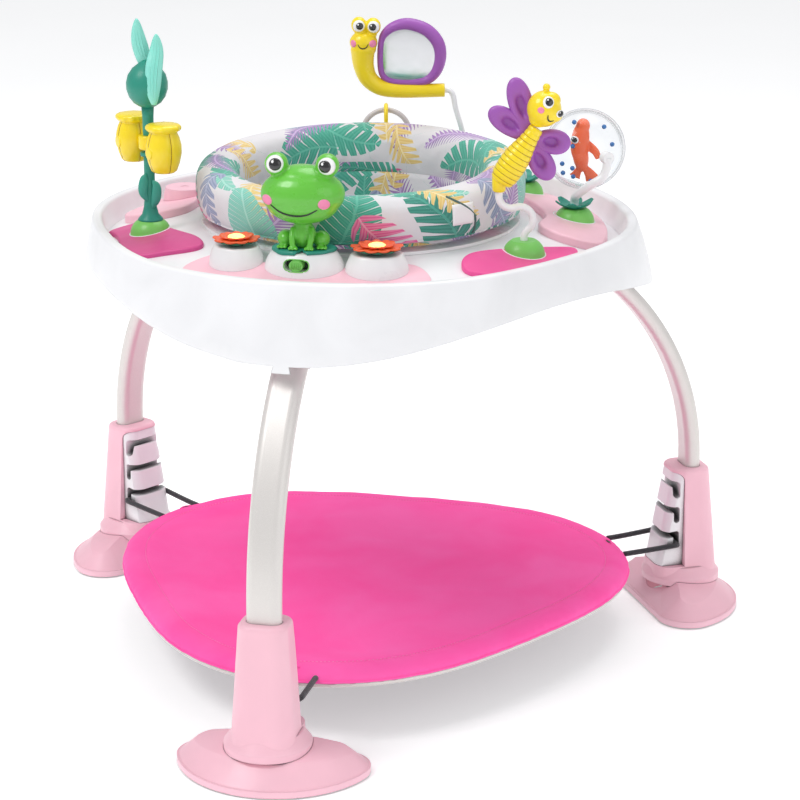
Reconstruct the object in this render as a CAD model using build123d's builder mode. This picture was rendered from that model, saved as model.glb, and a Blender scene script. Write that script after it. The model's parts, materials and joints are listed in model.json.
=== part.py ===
from build123d import *
import os
from math import atan2, cos, degrees, pi, radians, sin, sqrt

os.makedirs("parts", exist_ok=True)

# ---------------------------------------------------------------------------
# Driving dimensions, in millimetres. Origin: on the floor, under the seat's centre. +Z is up,
# and -Y is the side with the frog console.
# ---------------------------------------------------------------------------

LEGS = {"front": -90, "right": 30, "left": 150}   # the angle of each leg about +Z, in degrees

# leg tubes and columns
leg_radius = 385.5          # from the centre to the upright part of a tube
tube_width = 35.5           # oval tube, along the tangent
tube_depth = 18.0
tube_wall = 1.6
tube_foot_z = 33.0
bend_z = 170.0              # the tube is straight up to here, then bends inwards
bend_radius = 284.0
bend_angle = 66.0
column_base_z = 29.0
column_top_z = 163.0
fit_gap = 0.25              # between mouldings that push together

# feet
foot_radius = 103.0         # the D-shaped foot's round side
foot_centre = 338.0
foot_inner = 328.0
foot_lift = 1.5             # the shell stands clear of the floor on its rubber grips
foot_crown = 39.0
flange_radius = 44.0
flange_centre = 379.0

# tray
crest_z = 477.0
tray_low_z = 393.0
tray_wall = 3.0
pan_rim_r = 275.0           # the pan's cone: height pan_rim_z at this radius
pan_rim_z = 452.0
pan_slope = 0.209
hub_radius = 172.0
hub_hole = 158.0

# seat
seat_mid_r = 152.0          # the padded ring's centre line
seat_half_width = 24.0
seat_low_z = 481.0
seat_top_front = 534.0
seat_top_back = 548.0

# mat
mat_mean_r = 286.0
mat_lobe = 24.0
mat_low_z = 58.0
mat_top_z = 81.0
cord_radius = 3.0
cord_hook_r = 363.0
cord_z = 75.3
cord_end_r = 301.0
cord_spread = 29.0

# toys
toy_turn = 13.4             # the toys face this far round from -Y
plug_radius = 15.0          # every toy base plugs into a round hole
base_radius = 21.3
base_top_radius = 13.0
base_height = 11.5
TOYS = {                    # x, y and z of each toy base's foot
    "leaf": (-209, -78, 467.5),
    "dragonfly": (193, -86, 470),
    "fish": (218, 68, 470),
    "snail": (141, 184, 470),
}
PAD_LIFTS = {"left": 5.0, "right": 5.0, "back_right": 9.0, "back_left": 9.0, "front": 3.0}


# ---------------------------------------------------------------------------
# Shared geometry
# ---------------------------------------------------------------------------

def radial_plane(angle, radius=0.0):
    """The upright plane through the centre: local x runs outwards, local y runs up."""
    outward = Vector(cos(radians(angle)), sin(radians(angle)), 0)
    side = Vector(sin(radians(angle)), -cos(radians(angle)), 0)
    return Plane(origin=outward * radius, x_dir=outward, z_dir=side)


def floor_plane(angle, z):
    """A level plane at height z whose local x runs outwards at this angle."""
    return Plane(origin=(0, 0, z), x_dir=(cos(radians(angle)), sin(radians(angle)), 0), z_dir=(0, 0, 1))


def facing_plane(toy, forward=0.0, right=0.0, z=None):
    """The upright plane that a toy faces out of: local x to its right, y up, z to the front."""
    t = radians(toy_turn)
    x, y, foot_z = toy
    origin = Vector(x, y, foot_z if z is None else z)
    origin += Vector(cos(t), sin(t), 0) * right + Vector(sin(t), -cos(t), 0) * forward
    return Plane(origin=origin, x_dir=(cos(t), sin(t), 0), z_dir=(sin(t), -cos(t), 0))


def points_on(plane, *points):
    """Points given in a plane's own x and y."""
    return [plane.from_local_coords((x, y, 0)) for x, y in points]


def lobed_points(mean, lobe, second=0.0, count=36):
    """A three-lobed outline with its lobes at the legs."""
    turns = [2 * pi * i / count for i in range(count)]
    radii = [mean + lobe * cos(3 * t) + second * cos(6 * t) for t in turns]
    return [(r * sin(t), -r * cos(t)) for r, t in zip(radii, turns)]


def pan_z(radius):
    """Height of the pan's cone at a radius."""
    return pan_rim_z + (pan_rim_r - radius) * pan_slope


def under_pan(lift):
    """Everything below the pan's surface raised by lift: it trims what stands on the pan."""
    far = 330.0
    with BuildPart() as region:
        with BuildSketch(Plane.XZ):
            with BuildLine():
                Polyline((0, 380), (far, 380), (far, pan_z(far) + lift),
                         (hub_radius, pan_z(hub_radius) + lift), (0, pan_z(hub_radius) + lift), close=True)
            make_face()
        revolve(axis=Axis.Z)
    return region.part


def lobed_loft(sections):
    """A loft through lobed outlines, each given as (z, mean, lobe, second lobe)."""
    with BuildPart() as body:
        for z, mean, lobe, second in sections:
            with BuildSketch(Plane.XY.offset(z)):
                with BuildLine():
                    Spline(*lobed_points(mean, lobe, second), periodic=True)
                make_face()
        loft()
    return body.part


def pan_recess(wall):
    """The hollow above the pan; a wall above zero grows it by the tray's thickness."""
    with BuildPart() as recess:
        add(lobed_loft([(440, 271 + wall, 5.2, -3.1), (crest_z + 1, 279 + wall, 5.2, -3.1)]))
        add(under_pan(-wall), mode=Mode.SUBTRACT)
    return recess.part


def spheroid(half_long, radius):
    """An egg-round solid at the origin, long along X, with a small flat at each end."""
    with BuildPart() as egg:
        with BuildSketch(Plane.XY.rotated((35, 0, 0))):
            with BuildLine():
                arc = EllipticalCenterArc((0, 0), half_long, radius, start_angle=5, arc_size=170)
                start, stop = arc @ 0, arc @ 1
                Polyline(stop, (stop.X, 0), (start.X, 0), start)
            make_face()
        revolve(axis=Axis.X)
    return egg.part


def upright(plane):
    """The same place, with the local x axis pointing up."""
    return Plane(origin=plane.origin, x_dir=plane.y_dir, z_dir=plane.z_dir)


# ---------------------------------------------------------------------------
# Tray
# ---------------------------------------------------------------------------

hollow_top_z = 470.0
screw_ring_r = 200.0
screw_angles = [0, 60, 120, 180, 240, 300]
boss_radius = 5.5
boss_low_z = 447.2
screw_hole = 1.8
cap_site = (-TOYS["fish"][0], TOYS["fish"][1], TOYS["fish"][2])

with BuildPart() as tray_shell:
    add(lobed_loft([(tray_low_z, 306.6, 11.4, 0), (437, 299.8, 9.0, -1.2), (crest_z, 288.6, 5.2, -3.1)]))
    add(pan_recess(0), mode=Mode.SUBTRACT)
    fillet(tray_shell.edges().group_by(Axis.Z)[-1], radius=3.6)
    with BuildPart(mode=Mode.PRIVATE) as hollow:
        add(lobed_loft([(tray_low_z - 2, 303.9, 11.5, 0), (437, 296.8, 9.0, -1.2), (hollow_top_z, 287.6, 5.7, -3.0)]))
        add(pan_recess(tray_wall), mode=Mode.SUBTRACT)
    add(hollow.part, mode=Mode.SUBTRACT)
    # screw bosses and a stiffening collar under the pan
    with BuildSketch(Plane.XY.offset(boss_low_z)):
        with PolarLocations(screw_ring_r, len(screw_angles)):
            Circle(boss_radius)
    extrude(amount=pan_z(screw_ring_r) - 2 - boss_low_z)
    with BuildSketch(Plane.XY.offset(458)):
        Circle(176)
        Circle(173, mode=Mode.SUBTRACT)
    extrude(amount=13)
    # seat hole, screw holes and toy holes
    with Locations((0, 0, crest_z)):
        Cylinder(hub_hole, 120, mode=Mode.SUBTRACT)
    with BuildSketch(Plane.XY.offset(boss_low_z)):
        with PolarLocations(screw_ring_r, len(screw_angles)):
            Circle(screw_hole)
    extrude(amount=11, mode=Mode.SUBTRACT)
    with BuildSketch(Plane.XY.offset(430)):
        with Locations(*[(x, y) for x, y, z in list(TOYS.values()) + [cap_site]]):
            Circle(plug_radius + fit_gap)
    extrude(amount=60, mode=Mode.SUBTRACT)
    # the skirt's lower edge rises in a wave between the legs
    for angle in LEGS.values():
        with BuildSketch(radial_plane(angle + 150)) as wave:
            with BuildLine():
                steps = [-60 + 10 * i for i in range(13)]
                edge = [(312 * sin(radians(s)), 417.3 + 17.5 * cos(radians(3 * s))) for s in steps]
                Spline(*edge, tangents=[(1, 0), (1, 0)])
                Polyline(edge[-1], (edge[-1][0], 380), (edge[0][0], 380), edge[0])
            make_face()
        extrude(amount=340, mode=Mode.SUBTRACT)
tray_shell.part.label = "tray_shell"
export_step(tray_shell.part, "parts/tray_shell.step")


def inlay_pad(outline, lift, holes=(), slot=None, edge_radius=2.5):
    """A coloured pad that follows the pan's cone, with a smooth outline given by its corners."""
    with BuildPart() as pad:
        with BuildSketch(Plane.XY.offset(440)):
            with BuildLine():
                Spline(*outline, periodic=True)
            make_face()
        extrude(amount=60)
        with BuildPart(mode=Mode.PRIVATE) as layer:
            add(under_pan(lift))
            add(under_pan(0), mode=Mode.SUBTRACT)
        add(layer.part, mode=Mode.INTERSECT)
        fillet(pad.faces().sort_by(Axis.Z)[-1].edges(), radius=edge_radius)
        if holes:
            with BuildSketch(Plane.XY.offset(430)):
                with Locations(*holes):
                    Circle(plug_radius + fit_gap)
            extrude(amount=70, mode=Mode.SUBTRACT)
        if slot:
            with BuildSketch(Plane.XY.offset(430)):
                with Locations(slot):
                    SlotOverall(9, 5, rotation=-40)
            extrude(amount=70, mode=Mode.SUBTRACT)
    return pad.part


def sector(inner, outer, start, stop, steps=4):
    """Corners of a ring sector: along the outer arc, then back along the inner one."""
    turns = [radians(start + (stop - start) * i / steps) for i in range(steps + 1)]
    outside = [(outer * cos(t), outer * sin(t)) for t in turns]
    inside = [(inner * cos(t), inner * sin(t)) for t in reversed(turns)]
    return outside + inside


leaf_site = TOYS["leaf"][:2]
dragonfly_site = TOYS["dragonfly"][:2]
fish_site = TOYS["fish"][:2]
snail_site = TOYS["snail"][:2]

left_corners = [(-262, -60), (-234, -107), (-194, -161), (-166, -158), (-131, -147), (-142, -122),
                (-160, -104), (-200, -62), (-244, -36)]
pad_left = inlay_pad(left_corners, PAD_LIFTS["left"], [leaf_site], (-171, -84))
pad_left.label = "pad_left"
export_step(pad_left, "parts/pad_left.step")

right_corners = [(142, -151), (154, -167), (173, -165), (211, -118), (243, -51), (237, -37),
                 (222, -46), (161, -104)]
pad_right = inlay_pad(right_corners, PAD_LIFTS["right"], [dragonfly_site], None, edge_radius=1.5)
pad_right.label = "pad_right"
export_step(pad_right, "parts/pad_right.step")

pad_back_right = inlay_pad(sector(195, 262, -1, 60, 5), PAD_LIFTS["back_right"], [fish_site, snail_site], (188, 38))
pad_back_right.label = "pad_back_right"
export_step(pad_back_right, "parts/pad_back_right.step")

pad_back_left = inlay_pad(sector(195, 262, 120, 181, 5), PAD_LIFTS["back_left"], [cap_site[:2]])
pad_back_left.label = "pad_back_left"
export_step(pad_back_left, "parts/pad_back_left.step")

pad_front = inlay_pad(sector(198, 246, -122, -60, 5), PAD_LIFTS["front"], edge_radius=1.2)
pad_front.label = "pad_front"
export_step(pad_front, "parts/pad_front.step")


# ---------------------------------------------------------------------------
# Underframe with the leg sockets, and its fasteners
# ---------------------------------------------------------------------------

bend_x = leg_radius - bend_radius
bolt_angle = 58.0
bolt_r = bend_x + bend_radius * cos(radians(bolt_angle))
bolt_z = bend_z + bend_radius * sin(radians(bolt_angle))
bolt_radius = 2.5
socket_wall = 4.0


def slot_on_bend(angle, start, stop, width, depth):
    """An oval bar that follows the tube's bend between two bend angles."""
    plane = radial_plane(angle)
    with BuildPart() as bar:
        with BuildLine(plane) as path:
            CenterArc((bend_x, bend_z), bend_radius, start, stop - start)
        out = plane.x_dir
        start_plane = Plane(origin=path.line @ 0, x_dir=out.cross(Vector(0, 0, 1)), z_dir=path.line % 0)
        with BuildSketch(start_plane):
            SlotOverall(width, depth)
        sweep()
    return bar.part


with BuildPart() as underframe:
    with BuildSketch(Plane.XY.offset(438)):
        Circle(224)
        Circle(178, mode=Mode.SUBTRACT)
    extrude(amount=9)
    for angle in LEGS.values():
        add(slot_on_bend(angle, 52, 67.5, tube_width + 2 * socket_wall, tube_depth + 2 * socket_wall))
    for angle in LEGS.values():
        add(slot_on_bend(angle, 50, bend_angle + 0.1, tube_width + 2 * fit_gap, tube_depth + 2 * fit_gap),
            mode=Mode.SUBTRACT)
        with BuildSketch(radial_plane(angle)):
            with Locations((bolt_r, bolt_z)):
                Circle(bolt_radius + 0.1)
        extrude(amount=40, both=True, mode=Mode.SUBTRACT)
    with BuildSketch(Plane.XY.offset(430)):
        with PolarLocations(screw_ring_r, len(screw_angles)):
            Circle(screw_hole + 0.2)
    extrude(amount=20, mode=Mode.SUBTRACT)
    with BuildSketch(Plane.XY.offset(430)):
        with Locations(*[(x, y) for x, y, z in list(TOYS.values()) + [cap_site]]):
            Circle(plug_radius + 2)
    extrude(amount=20, mode=Mode.SUBTRACT)
underframe.part.label = "underframe"
export_step(underframe.part, "parts/underframe.step")

with BuildPart() as tray_screws:
    with BuildSketch(Plane.XY.offset(434.9)):
        with PolarLocations(screw_ring_r, len(screw_angles)):
            Circle(4)
    extrude(amount=3)
    with BuildSketch(Plane.XY.offset(437)):
        with PolarLocations(screw_ring_r, len(screw_angles)):
            Circle(screw_hole - 0.05)
    extrude(amount=19)
tray_screws.part.label = "tray_screws"
export_step(tray_screws.part, "parts/tray_screws.step")

with BuildPart() as leg_bolts:
    for angle in LEGS.values():
        half_grip = tube_width / 2 + socket_wall
        with BuildSketch(radial_plane(angle)):
            with Locations((bolt_r, bolt_z)):
                Circle(bolt_radius)
        extrude(amount=half_grip + 1, both=True)
        for side in (-1, 1):
            with BuildSketch(radial_plane(angle).offset(side * (half_grip + 0.05))):
                with Locations((bolt_r, bolt_z)):
                    Circle(4.5)
            extrude(amount=side * 3)
leg_bolts.part.label = "leg_bolts"
export_step(leg_bolts.part, "parts/leg_bolts.step")


# ---------------------------------------------------------------------------
# Legs: tube, column, hook rack, foot
# ---------------------------------------------------------------------------

rack_half = 24.0
rack_outer = 371.0
rack_low_z = 50.0
rack_top_z = 158.0
hook_mouths = [87.0, 116.0, 145.0]
hook_drop = 12.0            # from a hook's mouth down to its pocket
slot_width = 7.0


def leg_tube(angle):
    plane = radial_plane(angle)
    with BuildPart() as tube:
        with BuildLine(plane) as path:
            Line((leg_radius, tube_foot_z), (leg_radius, bend_z))
            CenterArc((bend_x, bend_z), bend_radius, 0, bend_angle)
        with BuildSketch(Plane(origin=path.line @ 0, x_dir=plane.z_dir, z_dir=(0, 0, 1))):
            SlotOverall(tube_width, tube_depth)
            SlotOverall(tube_width - 2 * tube_wall, tube_depth - 2 * tube_wall, mode=Mode.SUBTRACT)
        sweep()
        with BuildSketch(plane):
            with Locations((bolt_r, bolt_z)):
                Circle(bolt_radius + 0.1)
        extrude(amount=40, both=True, mode=Mode.SUBTRACT)
    return tube.part


def slot_between(start, end, width):
    """A round-ended slot whose end centres are the two points."""
    span = Vector(*end) - Vector(*start)
    middle = (Vector(*end) + Vector(*start)) / 2
    with Locations((middle.X, middle.Y)):
        SlotCenterToCenter(span.length, width, rotation=degrees(atan2(span.Y, span.X)))


def rack_profile(gap):
    """The hook rack's side view in a radial plane; gap grows it for the recess in the column."""
    with BuildSketch() as profile:
        with BuildLine():
            Polyline((rack_outer + gap, rack_low_z - gap), (300, rack_low_z - gap),
                     (300, rack_top_z + gap), (rack_outer + gap, rack_top_z + gap), close=True)
        make_face()
        outer_corner = profile.vertices().sort_by(Axis.Y)[-2:].sort_by(Axis.X)[-1]
        fillet(outer_corner, radius=9)
    return profile.sketch


def column_body(angle, shrink=0.0):
    """The column's tapering body: two rounded rectangles, lofted."""
    with BuildPart() as body:
        with BuildSketch(floor_plane(angle, column_base_z + 6)):
            with Locations((377.5, 0)):
                RectangleRounded(77 - 2 * shrink, 66 - 2 * shrink, 21)
        with BuildSketch(floor_plane(angle, column_top_z)):
            with Locations((382.5, 0)):
                RectangleRounded(43.5 - 2 * shrink, 50 - 2 * shrink, 15)
        loft()
    return body.part


def column(angle):
    plane = radial_plane(angle)
    with BuildPart() as post:
        add(column_body(angle))
        fillet(post.edges().group_by(Axis.Z)[-1], radius=5)
        # the round flange that sits in the foot, and its cone
        with BuildSketch(plane):
            with BuildLine():
                Polyline((flange_centre, column_base_z), (flange_centre + flange_radius, column_base_z),
                         (flange_centre + flange_radius, column_base_z + 7),
                         (flange_centre + 35, column_base_z + 19), (flange_centre, column_base_z + 19),
                         close=True)
            make_face()
        revolve(axis=Axis(plane.from_local_coords((flange_centre, 0, 0)), (0, 0, 1)))
        with BuildSketch(floor_plane(angle, tube_foot_z - fit_gap)):
            with Locations((leg_radius, 0)):
                SlotOverall(tube_width + 2 * fit_gap, tube_depth + 2 * fit_gap, rotation=90)
        extrude(amount=200, mode=Mode.SUBTRACT)
        with BuildSketch(plane):
            add(rack_profile(fit_gap))
        extrude(amount=60, both=True, mode=Mode.SUBTRACT)
    return post.part


def hook_rack(angle):
    plane = radial_plane(angle)
    with BuildPart() as rack:
        with BuildSketch(plane):
            add(rack_profile(0))
        extrude(amount=rack_half, both=True)
        add(column_body(angle, shrink=0.6), mode=Mode.INTERSECT)
        # stay clear of the tube, then cut the three J-shaped hook slots
        with BuildSketch(floor_plane(angle, 20)):
            with Locations((leg_radius, 0)):
                SlotOverall(tube_width + 3, tube_depth + 3, rotation=90)
        extrude(amount=180, mode=Mode.SUBTRACT)
        for mouth in hook_mouths:
            with BuildSketch(plane):
                slot_between((cord_hook_r - 40, mouth - 4), (cord_hook_r, mouth), slot_width)
                slot_between((cord_hook_r, mouth), (cord_hook_r, mouth - hook_drop), slot_width)
            extrude(amount=60, both=True, mode=Mode.SUBTRACT)
    return rack.part


def foot_outline(angle, z, grow=0.0):
    """The D-shaped foot's outline on a level plane."""
    with BuildSketch(floor_plane(angle, z)) as outline:
        with Locations((foot_centre, 0)):
            Circle(foot_radius + grow)
        with Locations((foot_inner - grow - 150, 0)):
            Rectangle(300, 400, mode=Mode.SUBTRACT)
        fillet(outline.vertices(), radius=34)
    return outline.sketch


def foot_dome(angle, lower=0.0):
    """The foot's crown: a wide spherical cap."""
    cap_radius = 210.0
    with BuildPart() as cap:
        with Locations(radial_plane(angle).from_local_coords((352, foot_crown - lower - cap_radius, 0))):
            Sphere(cap_radius)
    return cap.part


def foot_body(angle, inset=0.0):
    """The foot's outer form, or its inner form when inset is above zero."""
    with BuildPart() as body:
        extrude(foot_outline(angle, foot_lift - (1 if inset else 0), -inset), amount=7)
        extrude(foot_outline(angle, foot_lift + 5, -inset), amount=28, taper=48)
        add(foot_dome(angle, inset), mode=Mode.INTERSECT)
    return body.part


GRIP_SPOTS = [(345, -62), (345, 62), (418, -38), (418, 38)]   # outwards and sideways, on each foot
grip_radius = 8.0
grip_height = 4.0


def foot(angle):
    with BuildPart() as shell:
        add(foot_body(angle))
        with BuildPart(mode=Mode.PRIVATE) as cavity:
            add(foot_body(angle, 3.2))
            with BuildSketch(floor_plane(angle, 0)):
                with Locations(*GRIP_SPOTS):
                    Circle(grip_radius + 2.5)
                with Locations((flange_centre, 0)):
                    Circle(flange_radius + 3)
            extrude(amount=60, mode=Mode.SUBTRACT)
        add(cavity.part, mode=Mode.SUBTRACT)
        # the round pocket that holds the column, and the grips' seats
        with BuildSketch(floor_plane(angle, column_base_z)):
            with Locations((flange_centre, 0)):
                Circle(flange_radius + fit_gap)
        extrude(amount=40, mode=Mode.SUBTRACT)
        with BuildSketch(floor_plane(angle, 0)):
            with Locations((flange_centre, 0)):
                Circle(flange_radius - 6)
        extrude(amount=column_base_z - 4, mode=Mode.SUBTRACT)
        with BuildSketch(floor_plane(angle, 0)):
            with Locations(*GRIP_SPOTS):
                Circle(grip_radius + 0.05)
        extrude(amount=grip_height, mode=Mode.SUBTRACT)
    return shell.part


for leg, angle in LEGS.items():
    for kind, piece in (("leg_tube", leg_tube(angle)), ("leg_column", column(angle)),
                        ("hook_rack", hook_rack(angle)), ("foot", foot(angle))):
        piece.label = f"{kind}_{leg}"
        export_step(piece, f"parts/{kind}_{leg}.step")

with BuildPart() as foot_grips:
    for angle in LEGS.values():
        with BuildSketch(floor_plane(angle, 0)):
            with Locations(*GRIP_SPOTS):
                Circle(grip_radius)
        extrude(amount=grip_height)
foot_grips.part.label = "foot_grips"
export_step(foot_grips.part, "parts/foot_grips.step")


# ---------------------------------------------------------------------------
# Bounce mat with its hoop and elastic cords
# ---------------------------------------------------------------------------

hoop_z = 63.0
hoop_radius = 4.0
hoop_inset = 13.0


def hoop(radius):
    """A round bar that follows the mat's outline."""
    with BuildPart() as ring:
        with BuildLine(Plane.XY.offset(hoop_z)) as path:
            Spline(*lobed_points(mat_mean_r - hoop_inset, mat_lobe), periodic=True)
        with BuildSketch(Plane(origin=path.line @ 0, z_dir=path.line % 0)):
            Circle(radius)
        sweep()
    return ring.part


def cord_path_plane(angle):
    """The cord loop's plane: it dips a little from the hook towards the mat."""
    dip = Vector(cord_hook_r - cord_end_r, 0, 4.5).normalized()
    outward = Vector(cos(radians(angle)), sin(radians(angle)), 0)
    x_dir = outward * dip.X + Vector(0, 0, 1) * dip.Z
    side = Vector(-sin(radians(angle)), cos(radians(angle)), 0)
    return Plane(origin=outward * cord_hook_r + Vector(0, 0, cord_z), x_dir=x_dir, z_dir=x_dir.cross(side))


with BuildPart() as mat_pad:
    with BuildSketch(Plane.XY.offset(mat_low_z)):
        with BuildLine():
            Spline(*lobed_points(mat_mean_r, mat_lobe), periodic=True)
        make_face()
    extrude(amount=mat_top_z - mat_low_z)
    fillet(mat_pad.edges().group_by(Axis.Z)[-1], radius=9)
    fillet(mat_pad.edges().group_by(Axis.Z)[0], radius=6)
    add(lobed_loft([(mat_top_z - 6, 225, 16, 0), (mat_top_z + 1, 262, 22, 0)]), mode=Mode.SUBTRACT)
    add(hoop(hoop_radius + 1.5), mode=Mode.SUBTRACT)
    # blind holes where the cords enter the edge
    for angle in LEGS.values():
        plane = cord_path_plane(angle)
        for side in (-1, 1):
            mouth = plane.from_local_coords((cord_end_r - cord_hook_r - 6, side * (cord_spread - 2), 0))
            with BuildSketch(Plane(origin=mouth, z_dir=plane.x_dir)):
                Circle(cord_radius + 1)
            extrude(amount=40, mode=Mode.SUBTRACT)
mat_pad.part.label = "mat_pad"
export_step(mat_pad.part, "parts/mat_pad.step")

mat_hoop = hoop(hoop_radius)
mat_hoop.label = "mat_hoop"
export_step(mat_hoop, "parts/mat_hoop.step")


def bungee_cord(angle):
    """One elastic loop: from the mat, round the hook rack and back."""
    reach = cord_end_r - cord_hook_r
    with BuildPart() as cord:
        with BuildLine(cord_path_plane(angle)) as path:
            FilletPolyline((reach, -cord_spread + 2), (0, -cord_spread), (0, cord_spread),
                           (reach, cord_spread - 2), radius=5)
        with BuildSketch(Plane(origin=path.line @ 0, z_dir=path.line % 0)):
            Circle(cord_radius)
        sweep()
    return cord.part


for leg, angle in LEGS.items():
    piece = bungee_cord(angle)
    piece.label = f"bungee_{leg}"
    export_step(piece, f"parts/bungee_{leg}.step")


# ---------------------------------------------------------------------------
# Seat: turning ring, retainer, bolster and sling
# ---------------------------------------------------------------------------

hub_top_z = pan_z(hub_radius)
hub_low_z = hollow_top_z
seat_flange_r = 169.0
seat_bore = 148.0

with BuildPart() as seat_ring:
    with BuildSketch(Plane.XZ):
        with BuildLine():
            Polyline((seat_bore, 460), (hub_hole - 0.06, 460), (hub_hole - 0.06, hub_top_z + 0.15),
                     (seat_flange_r, hub_top_z + 0.15), (seat_flange_r, hub_top_z + 3.5),
                     (seat_bore, hub_top_z + 3.5), close=True)
        make_face()
    revolve(axis=Axis.Z)
seat_ring.part.label = "seat_ring"
export_step(seat_ring.part, "parts/seat_ring.step")

with BuildPart() as seat_retainer:
    with BuildSketch(Plane.XZ):
        with BuildLine():
            Polyline((hub_hole, 461), (168, 461), (168, hub_low_z - 0.2), (hub_hole, hub_low_z - 0.2), close=True)
        make_face()
    revolve(axis=Axis.Z)
seat_retainer.part.label = "seat_retainer"
export_step(seat_retainer.part, "parts/seat_retainer.step")


def bolster_section(angle):
    """The padded ring's cross-section: taller towards the back of the seat."""
    middle = (seat_top_front + seat_top_back) / 2
    top = middle + (seat_top_back - seat_top_front) / 2 * sin(radians(angle))
    with BuildSketch(radial_plane(angle)) as section:
        with Locations((seat_mid_r, (seat_low_z + top) / 2)):
            Ellipse(seat_half_width, (top - seat_low_z) / 2)
    return section.sketch


with BuildPart() as seat_bolster:
    loft([bolster_section(angle).faces()[0] for angle in (-90, -60, -30, 0, 30, 60, 90)])
    mirror(about=Plane.YZ)
seat_bolster.part.label = "seat_bolster"
export_step(seat_bolster.part, "parts/seat_bolster.step")

sling_wall = 3.0
sling_low_z = 342.0


def sling_form(inset, rim_r, rim_z):
    """The bucket's form, revolved: its outside, or its inside when inset by the fabric."""
    with BuildPart() as bucket:
        with BuildSketch(Plane.XZ):
            with BuildLine():
                Spline((0, sling_low_z + inset), (60, sling_low_z + 6 + inset), (98 - inset, 370 + inset / 2),
                       (119 - inset, 430), (126 - inset, 466), tangents=[(1, 0), (0.15, 1)])
                Polyline((126 - inset, 466), (rim_r, rim_z), (rim_r, rim_z + 3), (0, rim_z + 3),
                         (0, sling_low_z + inset))
            make_face()
        revolve(axis=Axis.Z)
    return bucket.part


with BuildPart() as seat_sling:
    add(sling_form(0, 146, 473))
    add(sling_form(sling_wall, 128, 476), mode=Mode.SUBTRACT)
    # two leg holes in the lower front
    for angle in (-128, -52):
        with BuildSketch(radial_plane(angle + 90)):
            with Locations((0, 388)):
                Circle(36)
        extrude(amount=160, mode=Mode.SUBTRACT)
seat_sling.part.label = "seat_sling"
export_step(seat_sling.part, "parts/seat_sling.step")


# ---------------------------------------------------------------------------
# Toy bases, petals and the spare socket's cap
# ---------------------------------------------------------------------------

TOY_LIFTS = {"leaf": PAD_LIFTS["left"], "dragonfly": PAD_LIFTS["right"],
             "fish": PAD_LIFTS["back_right"], "snail": PAD_LIFTS["back_right"]}
pin_radius = 4.1            # socket in the top of every base
rod_radius = 3.8            # the rods that stand in those sockets
running_gap = 0.07          # between pieces that turn or slide on each other


def socket_plug(site, lift, radius, top_radius, height):
    """A dome on the pan with a plug below it that goes through pad and pan."""
    x, y, z = site
    with BuildPart() as plug:
        with BuildSketch(Plane.XY.offset(z - 10)):
            with Locations((x, y)):
                Circle(radius)
        with BuildSketch(Plane.XY.offset(z + 2)):
            with Locations((x, y)):
                Circle(radius - 0.6)
        with BuildSketch(Plane.XY.offset(z + height)):
            with Locations((x, y)):
                Circle(top_radius)
        loft()
        add(under_pan(lift + 0.02), mode=Mode.SUBTRACT)
        with BuildSketch(Plane.XY.offset(z - 26)):
            with Locations((x, y)):
                Circle(plug_radius)
        extrude(amount=28)
        with BuildSketch(Plane.XY.offset(z - 12)):
            with Locations((x, y)):
                Circle(pin_radius)
        extrude(amount=60, mode=Mode.SUBTRACT)
    return plug.part


with BuildPart() as toy_bases:
    for toy, site in TOYS.items():
        add(socket_plug(site, TOY_LIFTS[toy], base_radius, base_top_radius, base_height))
toy_bases.part.label = "toy_bases"
export_step(toy_bases.part, "parts/toy_bases.step")

with BuildPart() as socket_cap:
    add(socket_plug(cap_site, PAD_LIFTS["back_left"], 24, 21, 12))
    with Locations((cap_site[0], cap_site[1], cap_site[2] + 10)):
        Cylinder(12, 3)
socket_cap.part.label = "socket_cap"
export_step(socket_cap.part, "parts/socket_cap.step")

petal_count = 6
with BuildPart() as petal_collars:
    for toy in ("fish", "snail"):
        x, y, z = TOYS[toy]
        with BuildSketch(Plane.XY.offset(z + base_height + 0.1)):
            with Locations((x, y)):
                Circle(11)
                with PolarLocations(12.5, petal_count):
                    Ellipse(8.5, 6)
                Circle(pin_radius + 0.4, mode=Mode.SUBTRACT)
        extrude(amount=2.6)
petal_collars.part.label = "petal_collars"
export_step(petal_collars.part, "parts/petal_collars.step")

# ---------------------------------------------------------------------------
# Leaf toy
# ---------------------------------------------------------------------------

leaf = TOYS["leaf"]
stalk_radius = 5.8
pot_z = 562.0
pot_turn = -45.0
pot_reach = 35.0
pot_radius = 19.0
pot_collar = 15.0
bulb_z = 622.0

with BuildPart() as leaf_stalk:
    stalk = facing_plane(leaf, z=0)
    foot_z = leaf[2]
    with BuildSketch(stalk):
        with BuildLine():
            Polyline((0, foot_z - 10), (rod_radius, foot_z - 10),
                     (rod_radius, foot_z + base_height + 0.2), (12, foot_z + base_height + 0.2))
            Spline((12, foot_z + base_height + 0.2), (stalk_radius + 0.6, foot_z + 20), (stalk_radius, foot_z + 40),
                   tangents=[(-0.3, 1), (0, 1)])
            Polyline((stalk_radius, foot_z + 40), (stalk_radius, bulb_z), (0, bulb_z), (0, foot_z - 10))
        make_face()
    revolve(axis=Axis((leaf[0], leaf[1], 0), (0, 0, 1)))
    with Locations((leaf[0], leaf[1], bulb_z)):
        Sphere(22)
    for right, mid_z in ((-7, 508), (7, 504)):
        with Locations(upright(facing_plane(leaf, right=right, forward=1, z=mid_z))):
            add(spheroid(15, 5))
    with Locations((leaf[0], leaf[1], pot_z - pot_collar / 2 - 1.7)):
        Cylinder(9, 3)
leaf_stalk.part.label = "leaf_stalk"
export_step(leaf_stalk.part, "parts/leaf_stalk.step")


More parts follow.
